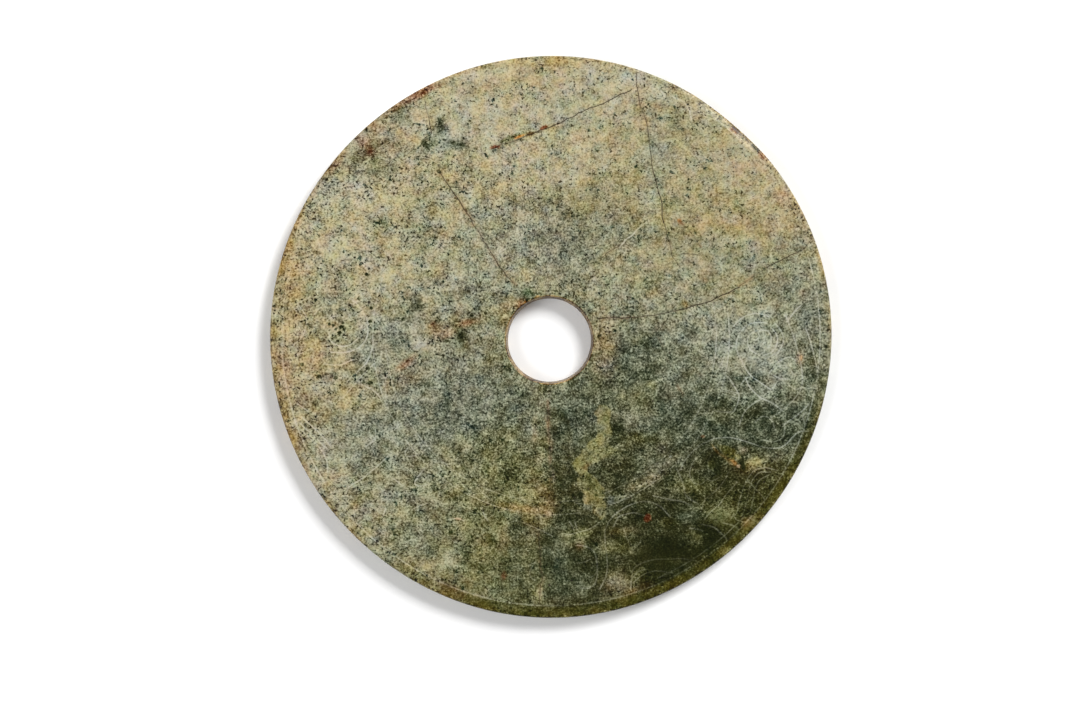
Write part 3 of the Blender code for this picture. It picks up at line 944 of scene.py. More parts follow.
def hole_wall():
    """Hole grid of directions by steps down: the radius follows the mouths' rounds and the two cones.

    Scoring is noise that changes fast with height and slowly around. The lower cone's centre is off by a
    quarter of a millimetre, as the two drillings never quite meet."""
    turn = np.linspace(0, 2 * math.pi, MOUTH_COUNT, endpoint=False)[:, None]
    height = THICKNESS * np.array(UPPER_STEPS + LOWER_STEPS)
    marks = (0, 0.5 * MOUTH_WEAR, 1.6 * MOUTH_WEAR, WAIST_HEIGHT)
    mouths = (MOUTH_RADIUS + MOUTH_WEAR, MOUTH_RADIUS, MOUTH_RADIUS - 0.3 * MOUTH_WEAR, HOLE_RADIUS)
    levels = list(marks) + [THICKNESS - mark for mark in marks[2::-1]]
    radius = np.interp(height, levels, list(mouths) + list(mouths[2::-1])) + 0 * turn
    spots = [height + SCORING_TURN * np.cos(turn), SCORING_TURN * np.sin(turn) + 0 * height]
    scoring = cloud(np.stack(spots, axis=-1).reshape(-1, 2), SCORING_SIZE, 85).reshape(radius.shape)
    away = np.minimum(height, THICKNESS - height) / THICKNESS
    radius += np.clip(4 * away, 0, 1) * SCORING_DEPTH * scoring
    below = (height < WAIST_HEIGHT) * np.clip(3 * height / WAIST_HEIGHT, 0, 1)
    x = HOLE_CENTRE[0] + radius * np.cos(turn) + MEETING_SHIFT[0] * below
    y = HOLE_CENTRE[1] + radius * np.sin(turn) + MEETING_SHIFT[1] * below
    return np.stack([x, y, height + 0 * turn], axis=-1)


hole_grid = hole_wall()
print(f"hole: {hole_grid.shape[0]} directions by {hole_grid.shape[1]} steps")

# %% The plain underside
# The scatter's pitch, the roll's height, the saw's step, and the ring's half width and height
UNDER_SCATTER = 0.0029
UNDER_ROLL, SAW_STEP = 0.00006, 0.00014
UNDER_RING_HALF_WIDTH, UNDER_RING_DEPTH = 0.0003, 0.00014

under_ring = arc(EDGE_RING / RADIUS, 0, 360)[:-1]
under_laid = rows_along(under_ring, UNDER_RING_HALF_WIDTH, CRACK_ROWS)
under_loose = even_scatter(UNDER_SCATTER, 63)
under_loose = under_loose[within_sheet(under_loose, 0.0012)]
under_loose = under_loose[closeness(under_loose, under_ring, 0.0014) == 0]
under_spots, under_triangles = joined_sheet(outer_loop, inner_loop, np.vstack([under_laid, under_loose]))


def under_rise(spots):
    """How far the underside lies above the floor: the roll, the saw's step, the ring and the rim's rise."""
    out = np.hypot(*spots.T)
    roll = UNDER_ROLL * cloud(spots, 0.05, 86)
    across_saw = spots[:, 0] * 0.5 + spots[:, 1] + 0.006 * cloud(spots, 0.08, 87)
    step = SAW_STEP * smooth_step(across_saw, 0.021, 0.024)
    to_rim = np.clip((out - EDGE_RING) / (0.99 * RADIUS - EDGE_RING), 0, 1)
    ring = UNDER_RING_DEPTH * closeness(spots, under_ring, UNDER_RING_HALF_WIDTH)
    return roll - roll.min() + step * (1 - to_rim) + UNDER_FALL * to_rim + ring


under_corners = np.column_stack([under_spots, under_rise(under_spots)])
print(f"underside: {len(under_spots)} points, {len(under_triangles)} triangles")

# %% One closed mesh from the four parts
def strip(above, below):
    """Two triangles for each step between two loops of the same count, wound to face away from the stone."""
    next_above, next_below = np.roll(above, -1), np.roll(below, -1)
    one = np.stack([above, below, next_below], axis=-1)
    two = np.stack([above, next_below, next_above], axis=-1)
    return np.concatenate([one, two])


def wall_triangles(first_loop, start, grid, last_loop):
    """Strips from one sheet's loop down through every column of a grid to the other sheet's loop."""
    columns = [start + np.arange(grid.shape[0]) * grid.shape[1] + step for step in range(grid.shape[1])]
    loops = [first_loop] + columns + [last_loop]
    return np.concatenate([strip(loops[i], loops[i + 1]) for i in range(len(loops) - 1)])


rim_start = len(face_corners)
hole_start = rim_start + rim_grid.shape[0] * rim_grid.shape[1]
under_start = hole_start + hole_grid.shape[0] * hole_grid.shape[1]
corners = np.vstack([face_corners, rim_grid.reshape(-1, 3), hole_grid.reshape(-1, 3), under_corners])
around_rim, around_mouth = np.arange(RIM_COUNT), RIM_COUNT + np.arange(MOUTH_COUNT)
rim_strips = wall_triangles(around_rim, rim_start, rim_grid, under_start + around_rim)
hole_strips = wall_triangles(around_mouth, hole_start, hole_grid, under_start + around_mouth)
under_turned = under_triangles[:, ::-1] + under_start
triangles = np.vstack([face_triangles, rim_strips, hole_strips[:, ::-1], under_turned])
print(f"{len(corners)} points and {len(triangles)} triangles in all")

mesh = bpy.data.meshes.new("carved_stone")
mesh.from_pydata(corners.tolist(), [], triangles.tolist())
mesh.shade_smooth()
disc = bpy.data.objects.new("carved_stone", mesh)
bpy.context.scene.collection.objects.link(disc)
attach(disc, "root")
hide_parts("bi_disc")

# %% [markdown]
# ## The colour of the stone
# The boulder's colour drifts from cream to a dark olive green, with rust where water got in. A material can
# hold noise, but not where on this disc each colour lies. So the broad colour is laid out here like paint:
# ovals of named colours, bent by noise so that no oval shows, then the zones and the sharp-edged stains. The
# result is kept with the mesh at each of its points.

# %% The stone's colours, as a painter would name them
STONE = {
    "cream": (174, 166, 134),
    "pale": (186, 181, 155),
    "tan": (176, 156, 112),
    "peach": (180, 154, 120),
    "ochre": (160, 132, 80),
    "rust": (128, 88, 56),
    "olive": (134, 130, 92),
    "moss": (106, 106, 66),
    "sage": (134, 134, 109),
    "slate": (116, 121, 108),
    "mist": (152, 156, 138),
    "bottle": (80, 88, 70),
    "pine": (60, 60, 34),
    "straw": (144, 138, 92),
    "blush": (138, 122, 98),
    "honey": (168, 160, 106),
    "night": (36, 40, 18),
    "bark": (80, 77, 32),
    "clay": (126, 70, 44),
    "redwood": (112, 58, 34),
    "umber": (84, 64, 36),
    "brick": (76, 36, 12),
    "celadon": (124, 142, 104),
    "orange": (196, 130, 60),
}

# %% The broad fields of colour
# The places are shares of the radius across and up the face; then the reach each way, the turn in degrees,
# the colour and how strongly it covers what lies below it. Later ones lie over earlier ones.
FIELDS = [
    # the pale upper field and the tan left flank
    (-0.10, 0.90, 0.55, 0.16, 0, "cream", 0.5),
    (0.55, 0.78, 0.30, 0.10, -35, "cream", 0.3),
    (-0.80, 0.30, 0.26, 0.40, 0, "tan", 0.2),
    (-0.88, -0.10, 0.16, 0.30, 0, "tan", 0.35),
    (0.72, 0.46, 0.30, 0.22, -40, "tan", 0.35),
    (0.50, 0.36, 0.44, 0.26, -10, "olive", 0.50),
    (0.34, 0.27, 0.26, 0.14, 0, "sage", 0.45),
    (-0.40, 0.44, 0.30, 0.20, 0, "olive", 0.25),
    # the grey-green middle and lower left
    (0.02, 0.37, 0.22, 0.15, 0, "slate", 0.75),
    (-0.42, 0.02, 0.34, 0.20, 20, "sage", 0.6),
    (-0.18, 0.12, 0.22, 0.14, 0, "sage", 0.55),
    (-0.52, -0.38, 0.44, 0.26, 10, "sage", 0.7),
    (-0.26, -0.26, 0.36, 0.17, 5, "slate", 0.8),
    (-0.32, -0.72, 0.40, 0.24, 0, "olive", 0.8),
    (-0.56, -0.62, 0.24, 0.18, 40, "sage", 0.5),
    (-0.14, -0.55, 0.22, 0.22, 0, "moss", 0.55),
    (-0.06, -0.92, 0.44, 0.18, 0, "moss", 0.85),
    # the dark lower right
    (0.42, -0.34, 0.44, 0.30, 0, "bottle", 0.95),
    (0.20, -0.50, 0.22, 0.30, 0, "pine", 0.65),
    (0.56, -0.64, 0.40, 0.24, 38, "pine", 0.95),
    (0.26, -0.06, 0.20, 0.10, 0, "bottle", 0.6),
    (0.20, -0.82, 0.40, 0.17, 10, "bottle", 0.85),
    (0.14, -0.72, 0.36, 0.16, 0, "pine", 0.45),
    (0.26, -0.90, 0.24, 0.10, 10, "pine", 0.4),
    (-0.90, -0.46, 0.10, 0.16, 30, "tan", 0.6),
    (0.02, -0.10, 0.16, 0.16, 0, "slate", 0.35),
    (0.34, -0.86, 0.34, 0.12, 20, "night", 0.55),
    (0.30, -0.70, 0.16, 0.10, 0, "pine", 0.5),
    (0.72, -0.66, 0.16, 0.08, 45, "pine", 0.5),
    (0.20, -0.92, 0.30, 0.06, 8, "umber", 0.25),
    (-0.84, -0.50, 0.14, 0.16, 35, "cream", 0.5),
    (-0.66, -0.70, 0.16, 0.12, 45, "cream", 0.45),
    (-0.06, -0.12, 0.18, 0.10, 0, "olive", 0.35),
    (0.68, -0.70, 0.26, 0.12, 45, "bark", 0.9),
    (0.72, -0.70, 0.16, 0.09, 45, "night", 0.6),
    (0.52, -0.70, 0.22, 0.16, 10, "night", 0.35),
    (0.34, -0.86, 0.14, 0.10, 20, "night", 0.25),
    (-0.70, -0.70, 0.14, 0.10, 45, "tan", 0.35),
    (-0.50, -0.70, 0.12, 0.08, 0, "moss", 0.25),
    (0.10, 0.12, 0.10, 0.10, 0, "moss", 0.25),
    (0.10, -0.70, 0.12, 0.10, 0, "pine", 0.35),
    (0.40, -0.88, 0.24, 0.09, 20, "bark", 0.85),
    (0.42, -0.90, 0.28, 0.09, 25, "night", 0.65),
    (0.40, -0.70, 0.18, 0.10, 0, "pine", 0.3),
    (0.32, -0.72, 0.14, 0.10, 20, "pine", 0.4),
    (0.10, -0.88, 0.30, 0.10, 5, "bark", 0.16),
    (-0.30, -0.90, 0.24, 0.08, -20, "tan", 0.16),
    (-0.48, -0.86, 0.12, 0.06, -30, "tan", 0.25),
    (0.10, -0.30, 0.12, 0.10, 0, "sage", 0.3),
    (-0.10, -0.50, 0.12, 0.10, 0, "moss", 0.5),
    (-0.10, -0.48, 0.10, 0.08, 0, "pine", 0.18),
    (-0.10, -0.10, 0.12, 0.08, 0, "moss", 0.38),
    (0.12, -0.12, 0.10, 0.08, 0, "moss", 0.35),
    (0.30, -0.10, 0.12, 0.10, 0, "bottle", 0.25),
    (-0.14, 0.12, 0.16, 0.10, 0, "olive", 0.5),
    (-0.50, 0.12, 0.12, 0.10, 0, "cream", 0.35),
    (-0.70, 0.30, 0.14, 0.10, 0, "pale", 0.45),
    (-0.10, 0.70, 0.14, 0.08, 0, "pale", 0.3),
    (0.10, 0.52, 0.12, 0.08, 0, "cream", 0.25),
    (0.70, 0.30, 0.14, 0.10, 0, "mist", 0.35),
    (0.50, 0.10, 0.14, 0.08, 0, "mist", 0.25),
    (-0.80, 0.50, 0.14, 0.14, 0, "cream", 0.25),
    (0.88, -0.46, 0.10, 0.16, 15, "pine", 0.4),
    (0.92, -0.10, 0.07, 0.16, 0, "bottle", 0.5),
    (0.92, 0.10, 0.08, 0.10, 0, "slate", 0.3),
    (0.50, 0.88, 0.20, 0.06, -30, "olive", 0.3),
    (-0.70, 0.68, 0.16, 0.10, 45, "sage", 0.6),
    (-0.10, 0.90, 0.16, 0.08, 0, "pale", 0.45),
    (0.30, -0.32, 0.12, 0.08, 0, "sage", 0.35),
    (-0.86, -0.48, 0.12, 0.12, 30, "cream", 0.7),
    (-0.92, -0.10, 0.10, 0.14, 0, "peach", 0.3),
    (-0.70, 0.12, 0.12, 0.10, 0, "pale", 0.22),
    (0.10, 0.50, 0.14, 0.12, 0, "cream", 0.4),
    (-0.70, 0.50, 0.14, 0.10, 0, "pale", 0.22),
    (0.70, 0.72, 0.12, 0.08, -45, "cream", 0.25),
    (0.88, 0.30, 0.08, 0.12, 0, "cream", 0.22),
    (-0.10, 0.48, 0.16, 0.14, 0, "tan", 0.2),
    (-0.10, 0.90, 0.16, 0.08, 0, "tan", 0.40),
    (0.30, 0.70, 0.12, 0.11, 0, "olive", 0.16),
    (0.50, 0.70, 0.11, 0.10, 0, "olive", 0.13),
    (-0.70, 0.70, 0.12, 0.10, 0, "olive", 0.15),
    (0.88, 0.48, 0.08, 0.10, 0, "olive", 0.14),
    (-0.30, -0.30, 0.13, 0.11, 0, "moss", 0.15),
    (0.30, -0.10, 0.11, 0.10, 0, "bottle", 0.12),
    (0.92, 0.00, 0.08, 0.20, 0, "moss", 0.12),
    (0.10, -0.30, 0.10, 0.10, 0, "sage", 0.25),
    # the mist over the coil on the right
    (0.74, -0.02, 0.20, 0.15, 0, "mist", 0.75),
    (0.90, 0.16, 0.14, 0.26, 0, "sage", 0.6),
    (0.56, -0.10, 0.18, 0.14, 0, "sage", 0.6),
    (0.68, -0.28, 0.22, 0.10, -15, "bottle", 0.8),
    (0.86, -0.30, 0.16, 0.14, 0, "bottle", 0.5),
]

# %% Stains across the top
TOP_STAINS = [
    (0.00, 0.965, 0.14, 0.035, 0, "ochre", 0.35),
    (0.24, 0.93, 0.12, 0.06, -15, "pale", 0.45),
    (-0.28, 0.80, 0.14, 0.09, 0, "pale", 0.4),
    (-0.455, 0.868, 0.075, 0.011, 27, "redwood", 0.70),
    (-0.560, 0.810, 0.060, 0.009, 34, "rust", 0.50),
    (-0.769, 0.617, 0.050, 0.012, 51, "rust", 0.60),
    (-0.635, 0.675, 0.060, 0.035, 25, "umber", 0.40),
    (-0.675, 0.640, 0.040, 0.018, 30, "umber", 0.35),
    (-0.660, 0.695, 0.016, 0.036, 45, "rust", 0.50),
    (-0.642, 0.664, 0.014, 0.014, 0, "redwood", 0.70),
    (-0.628, 0.755, 0.012, 0.018, -45, "redwood", 0.55),
    (-0.58, 0.700, 0.04, 0.03, 0, "rust", 0.25),
    (-0.380, 0.720, 0.08, 0.05, 0, "mist", 0.40),
    (-0.395, 0.757, 0.020, 0.036, 0, "bottle", 0.50),
    (-0.449, 0.682, 0.020, 0.030, -30, "bottle", 0.70),
    (-0.335, 0.685, 0.045, 0.020, -10, "bottle", 0.80),
    (-0.531, 0.789, 0.030, 0.026, 0, "bottle", 0.60),
    (-0.62, 0.600, 0.05, 0.025, 0, "slate", 0.45),
    (-0.66, 0.61, 0.05, 0.02, 0, "pale", 0.35),
    (-0.14, 0.700, 0.07, 0.010, 20, "olive", 0.5),
    (0.02, 0.748, 0.05, 0.012, 18, "ochre", 0.55),
    (0.05, 0.80, 0.10, 0.06, 10, "mist", 0.35),
    (0.37, 0.64, 0.05, 0.13, -5, "mist", 0.45),
    (0.33, 0.80, 0.03, 0.06, 0, "rust", 0.25),
    (0.22, 0.55, 0.14, 0.07, 25, "olive", 0.4),
    (0.10, 0.46, 0.10, 0.06, 0, "moss", 0.4),
    (0.52, 0.72, 0.11, 0.07, -20, "olive", 0.3),
    (0.66, 0.66, 0.12, 0.09, -45, "cream", 0.5),
    (0.66, 0.66, 0.08, 0.06, -45, "peach", 0.2),
    (0.70, 0.60, 0.06, 0.05, -45, "peach", 0.35),
    (0.85, 0.47, 0.05, 0.09, 20, "peach", 0.4),
    (0.60, 0.40, 0.16, 0.07, 0, "tan", 0.5),
    (0.42, 0.26, 0.14, 0.07, 0, "cream", 0.45),
    (0.373, 0.815, 0.018, 0.022, 0, "blush", 0.45),
    (0.431, 0.779, 0.050, 0.045, 0, "moss", 0.35),
    (0.360, 0.721, 0.028, 0.045, 0, "slate", 0.45),
    (0.441, 0.889, 0.014, 0.014, 0, "umber", 0.5),
    (0.425, 0.637, 0.030, 0.020, 30, "slate", 0.4),
    (0.200, 0.510, 0.060, 0.050, 0, "cream", 0.35),
    (0.100, 0.420, 0.060, 0.050, 0, "tan", 0.25),
    (0.080, 0.230, 0.050, 0.050, 0, "slate", 0.3),
    (0.350, 0.200, 0.050, 0.040, 0, "moss", 0.35),
    (-0.314, 0.772, 0.030, 0.020, 0, "sage", 0.35),
    (-0.620, 0.615, 0.050, 0.030, 0, "moss", 0.25),
    (-0.684, 0.565, 0.030, 0.018, 0, "bottle", 0.25),
    (-0.698, 0.538, 0.030, 0.016, 0, "peach", 0.30),
    (-0.698, 0.538, 0.034, 0.018, 0, "pale", 0.50),
    (-0.765, 0.526, 0.026, 0.018, 20, "bottle", 0.30),
    (-0.810, 0.517, 0.026, 0.014, 30, "slate", 0.45),
    (-0.855, 0.456, 0.018, 0.022, 0, "bottle", 0.40),
]

# %% Stains on the left flank
LEFT_STAINS = [
    (-0.84, 0.50, 0.08, 0.05, -20, "mist", 0.6),
    (-0.62, 0.44, 0.14, 0.10, 0, "cream", 0.55),
    (-0.68, 0.27, 0.10, 0.07, 0, "cream", 0.35),
    (-0.93, 0.17, 0.04, 0.13, 5, "ochre", 0.5),
    (-0.80, 0.13, 0.07, 0.10, 0, "sage", 0.5),
    (-0.46, 0.32, 0.05, 0.18, 0, "sage", 0.45),
    (-0.24, 0.30, 0.12, 0.14, 0, "mist", 0.35),
    (-0.54, 0.03, 0.08, 0.08, 0, "slate", 0.5),
    (-0.66, -0.03, 0.05, 0.06, 0, "slate", 0.5),
    (-0.34, 0.010, 0.10, 0.040, 20, "olive", 0.30),
    (-0.385, 0.006, 0.048, 0.026, 10, "peach", 0.70),
    (-0.426, 0.033, 0.020, 0.014, 0, "peach", 0.45),
    (-0.305, 0.050, 0.042, 0.016, 10, "moss", 0.65),
    (-0.318, 0.044, 0.030, 0.012, 10, "umber", 0.45),
    (-0.300, 0.050, 0.038, 0.011, 15, "rust", 0.65),
    (-0.322, -0.005, 0.026, 0.034, 0, "night", 0.70),
    (-0.370, -0.020, 0.020, 0.012, 0, "night", 0.80),
    (-0.340, -0.036, 0.024, 0.016, 0, "bottle", 0.50),
    (-0.459, -0.042, 0.026, 0.022, 0, "pale", 0.90),
    (-0.459, -0.042, 0.026, 0.022, 0, "tan", 0.35),
    (-0.525, -0.098, 0.040, 0.012, 33, "peach", 0.60),
    (-0.500, -0.080, 0.026, 0.008, 33, "rust", 0.30),
    (-0.360, 0.146, 0.010, 0.026, 0, "bottle", 0.60),
    (-0.481, 0.117, 0.018, 0.026, 0, "bottle", 0.45),
    (-0.52, -0.15, 0.05, 0.03, 30, "rust", 0.2),
    (-0.62, -0.06, 0.05, 0.04, 0, "mist", 0.3),
    (-0.96, -0.10, 0.03, 0.10, 0, "peach", 0.6),
    (-0.72, -0.22, 0.09, 0.06, 0, "tan", 0.45),
]

# %% Stains round the hole
HOLE_STAINS = [
    (-0.09, 0.165, 0.045, 0.028, -15, "bottle", 0.75),
    (-0.105, 0.118, 0.018, 0.020, 0, "rust", 0.9),
    (0.20, -0.05, 0.05, 0.10, 0, "peach", 0.55),
    (-0.10, 0.22, 0.05, 0.05, 0, "cream", 0.5),
]

# %% Stains at the lower left
LOWER_LEFT_STAINS = [
    (-0.32, -0.30, 0.09, 0.05, 0, "slate", 0.7),
    (-0.78, -0.39, 0.12, 0.07, 20, "mist", 0.5),
    (-0.62, -0.60, 0.10, 0.07, 45, "mist", 0.35),
    (-0.40, -0.50, 0.10, 0.06, 0, "olive", 0.4),
    (-0.48, -0.72, 0.09, 0.06, 30, "slate", 0.35),
    (-0.38, -0.80, 0.06, 0.05, 0, "mist", 0.45),
    (-0.33, -0.92, 0.09, 0.028, -20, "rust", 0.6),
    (-0.25, -0.77, 0.07, 0.12, -10, "moss", 0.35),
    (-0.20, -0.40, 0.10, 0.08, 0, "moss", 0.4),
    (-0.05, -0.60, 0.06, 0.12, 0, "ochre", 0.4),
    (-0.022, -0.600, 0.034, 0.048, 0, "ochre", 0.40),
    (-0.110, -0.618, 0.080, 0.010, -4, "peach", 0.35),
    (-0.056, -0.335, 0.012, 0.055, 0, "tan", 0.45),
    (-0.006, -0.250, 0.006, 0.060, 0, "blush", 0.75),
    (-0.011, -0.320, 0.006, 0.035, 8, "blush", 0.70),
    (0.001, -0.400, 0.006, 0.050, -5, "blush", 0.60),
    (0.008, -0.500, 0.007, 0.035, 0, "blush", 0.70),
    (-0.052, -0.915, 0.022, 0.026, 0, "honey", 0.60),
    (-0.14, -0.62, 0.12, 0.05, 0, "moss", 0.35),
    (-0.123, -0.613, 0.130, 0.014, -8, "ochre", 0.45),
    (-0.165, -0.720, 0.020, 0.040, 0, "ochre", 0.35),
    (-0.248, -0.746, 0.020, 0.050, 0, "ochre", 0.3),
    (-0.168, -0.849, 0.007, 0.012, 0, "redwood", 0.7),
    (-0.120, -0.701, 0.035, 0.030, 0, "bottle", 0.4),
]

# %% Stains along the seam between olive and dark green
SEAM_STAINS = [
    (-0.03, -0.42, 0.025, 0.22, 0, "olive", 0.45),
    (0.02, -0.78, 0.06, 0.12, 0, "bottle", 0.5),
    (0.04, -0.53, 0.05, 0.10, 0, "pine", 0.45),
]

# %% Stains beside the pale island and in the felt to its right
FELT_STAINS = [
    (0.060, -0.300, 0.030, 0.030, 0, "slate", 0.50),
    (0.090, -0.360, 0.025, 0.030, 0, "bottle", 0.75),
    (0.065, -0.450, 0.020, 0.020, 0, "sage", 0.30),
    (0.145, -0.280, 0.014, 0.030, 0, "slate", 0.60),
    (0.245, -0.420, 0.060, 0.050, 0, "olive", 0.20),
    (0.300, -0.520, 0.045, 0.030, 20, "pine", 0.40),
    (0.350, -0.640, 0.040, 0.032, 0, "night", 0.40),
    (0.225, -0.325, 0.030, 0.028, 0, "night", 0.75),
    (0.060, -0.650, 0.050, 0.025, 0, "night", 0.5),
    (0.360, -0.175, 0.020, 0.020, 0, "olive", 0.7),
    (0.270, -0.215, 0.060, 0.020, 0, "sage", 0.6),
    (0.360, -0.270, 0.050, 0.016, 0, "olive", 0.4),
    (0.400, -0.400, 0.040, 0.026, 20, "blush", 0.3),
    (0.300, -0.365, 0.080, 0.020, 0, "moss", 0.5),
    (0.380, -0.475, 0.090, 0.035, 15, "sage", 0.7),
    (0.340, -0.520, 0.070, 0.018, 20, "tan", 0.45),
    (0.230, -0.470, 0.060, 0.030, 0, "pine", 0.6),
    (0.210, -0.410, 0.040, 0.014, -10, "moss", 0.7),
    (0.495, -0.535, 0.065, 0.028, -10, "moss", 0.85),
    (0.240, -0.580, 0.060, 0.016, 20, "sage", 0.35),
]

# %% Stains round the ochre pocket and in the smooth olive stone below it
POCKET_STAINS = [
    (0.585, -0.460, 0.030, 0.035, 0, "night", 0.8),
    (0.650, -0.505, 0.070, 0.022, 20, "night", 0.5),
    (0.740, -0.455, 0.050, 0.024, -5, "olive", 0.85),
    (0.720, -0.480, 0.060, 0.022, 0, "ochre", 0.3),
    (0.790, -0.430, 0.050, 0.020, 20, "sage", 0.4),
    (0.700, -0.545, 0.060, 0.030, 40, "pine", 0.6),
    (0.590, -0.625, 0.070, 0.028, 10, "moss", 0.65),
    (0.560, -0.610, 0.040, 0.025, 0, "bark", 0.35),
    (0.640, -0.600, 0.050, 0.030, 0, "moss", 0.35),
    (0.500, -0.640, 0.060, 0.030, 0, "bottle", 0.6),
    (0.430, -0.665, 0.040, 0.018, 0, "bark", 0.4),
    (0.450, -0.745, 0.075, 0.040, 20, "night", 0.4),
    (0.565, -0.705, 0.040, 0.032, 30, "night", 0.85),
    (0.560, -0.765, 0.080, 0.016, 35, "bark", 0.6),
    (0.400, -0.850, 0.090, 0.030, 25, "night", 0.6),
    (0.300, -0.790, 0.060, 0.030, 10, "pine", 0.5),
]

# %% Pale threads and brown earth near the lower rim
EARTH_STAINS = [
    (0.275, -0.885, 0.040, 0.030, 40, "sage", 0.45),
    (0.235, -0.860, 0.030, 0.035, 0, "olive", 0.5),
    (0.330, -0.890, 0.035, 0.018, 20, "umber", 0.6),
    (0.410, -0.885, 0.050, 0.012, 25, "umber", 0.6),
    (0.320, -0.925, 0.080, 0.012, 20, "ochre", 0.45),
    (0.420, -0.870, 0.120, 0.040, 25, "night", 0.30),
    (0.600, -0.760, 0.090, 0.040, 40, "night", 0.30),
    (0.230, -0.743, 0.080, 0.030, 0, "moss", 0.7),
    (0.250, -0.690, 0.050, 0.016, 0, "ochre", 0.25),
    (0.100, -0.700, 0.050, 0.020, 10, "moss", 0.8),
    (0.100, -0.900, 0.100, 0.050, 0, "bottle", 0.45),
]

# %% The mist's clouds, the streaks between them and small stains
MIST_STAINS = [
    (0.79, -0.06, 0.09, 0.08, 0, "mist", 0.7),
    (0.62, 0.02, 0.08, 0.08, 0, "mist", 0.35),
    (0.93, 0.08, 0.05, 0.12, -10, "slate", 0.45),
    (0.46, 0.02, 0.07, 0.05, 0, "slate", 0.4),
    (0.42, -0.22, 0.12, 0.05, -15, "sage", 0.35),
    (0.10, -0.28, 0.07, 0.08, 0, "bottle", 0.6),
    (0.30, -0.22, 0.08, 0.05, 0, "moss", 0.4),
    (0.66, -0.27, 0.14, 0.045, -10, "pine", 0.55),
    (0.89, -0.076, 0.014, 0.024, 0, "rust", 0.45),
    (0.475, 0.116, 0.012, 0.012, 0, "ochre", 0.8),
    (0.55, 0.20, 0.012, 0.012, 0, "rust", 0.4),
    (0.748, -0.093, 0.060, 0.018, -41, "mist", 0.5),
    (0.783, -0.190, 0.065, 0.016, 41, "mist", 0.5),
    (0.230, -0.890, 0.055, 0.040, 20, "blush", 0.55),
    (0.265, -0.940, 0.030, 0.014, 20, "rust", 0.5),
    (0.285, -0.910, 0.025, 0.010, 20, "ochre", 0.5),
    (0.115, -0.980, 0.040, 0.012, 5, "straw", 0.5),
    (-0.015, -0.770, 0.016, 0.035, 0, "bottle", 0.6),
    (-0.040, -0.905, 0.012, 0.030, 0, "cream", 0.5),
    (-0.010, -0.635, 0.014, 0.014, 0, "peach", 0.5),
    (0.130, -0.610, 0.022, 0.010, 0, "slate", 0.5),
    (0.075, -0.725, 0.045, 0.030, 0, "straw", 0.45),
    (0.103, -0.745, 0.012, 0.018, 0, "umber", 0.6),
    (0.690, -0.410, 0.016, 0.012, 0, "blush", 0.6),
    (0.90, 0.157, 0.012, 0.014, 0, "rust", 0.2),
]

# %% Last touches round the hole, at the upper left and over the dark lower right
LAST_STAINS = [
    (-0.082, 0.160, 0.019, 0.013, -10, "celadon", 0.75),
    (-0.165, 0.050, 0.020, 0.036, 0, "umber", 0.38),
    (0.172, 0.000, 0.035, 0.050, 0, "tan", 0.50),
    (-0.150, 0.120, 0.030, 0.030, 0, "peach", 0.30),
    (-0.330, 0.040, 0.030, 0.026, 0, "moss", 0.20),
    (-0.400, 0.010, 0.034, 0.026, 0, "peach", 0.25),
    (-0.580, -0.160, 0.016, 0.036, 0, "tan", 0.45),
    (-0.600, 0.750, 0.038, 0.022, 40, "blush", 0.60),
    (-0.660, 0.700, 0.030, 0.030, 0, "peach", 0.45),
    (-0.400, 0.022, 0.042, 0.022, 25, "blush", 0.50),
    (-0.305, 0.048, 0.030, 0.012, 12, "rust", 0.40),
    (-0.420, 0.045, 0.014, 0.010, 0, "redwood", 0.35),
    (-0.520, -0.100, 0.046, 0.012, 33, "rust", 0.40),
    (-0.500, 0.100, 0.030, 0.036, 0, "bottle", 0.30),
    (0.720, -0.690, 0.130, 0.080, 45, "night", 0.28),
    (0.500, -0.700, 0.110, 0.100, 0, "night", 0.18),
    (0.400, -0.880, 0.200, 0.060, 22, "night", 0.18),
    (0.920, 0.100, 0.080, 0.100, 0, "bottle", 0.13),
    (0.920, -0.100, 0.080, 0.100, 0, "bottle", 0.13),
    (-0.880, 0.450, 0.080, 0.090, 0, "cream", 0.30),
    (-0.700, 0.500, 0.100, 0.080, 0, "pale", 0.15),
    (-0.200, -0.300, 0.200, 0.090, 0, "moss", 0.13),
    (-0.100, -0.500, 0.090, 0.090, 0, "moss", 0.16),
    (0.100, 0.300, 0.090, 0.090, 0, "moss", 0.12),
]

PATCHES = TOP_STAINS + LEFT_STAINS + HOLE_STAINS + LOWER_LEFT_STAINS + SEAM_STAINS + FELT_STAINS
PATCHES += POCKET_STAINS + EARTH_STAINS + MIST_STAINS + LAST_STAINS
print(f"{len(STONE)} colours, {len(FIELDS)} fields and {len(PATCHES)} stains")

# %% Laying colours over each other
# How far noise bends the ovals, broadly and finely, and how squarely their cover falls off
BROAD_BEND, FINE_BEND = 0.045, 0.014
COVER_POWER = 2.5


def laid_over(colour, cover, name):
    """A colour with a named one laid over it: each point goes its cover's share of the way there."""
    return colour + cover[:, None] * (np.array(STONE[name]) - colour)


def oval_cover(shares, middle, across, up, turn):
    """1 at an oval's middle, fading outwards: e to the minus (how far out) to the power 2.5."""
    return np.exp(-(oval_share(shares, middle, across, up, turn) ** COVER_POWER))


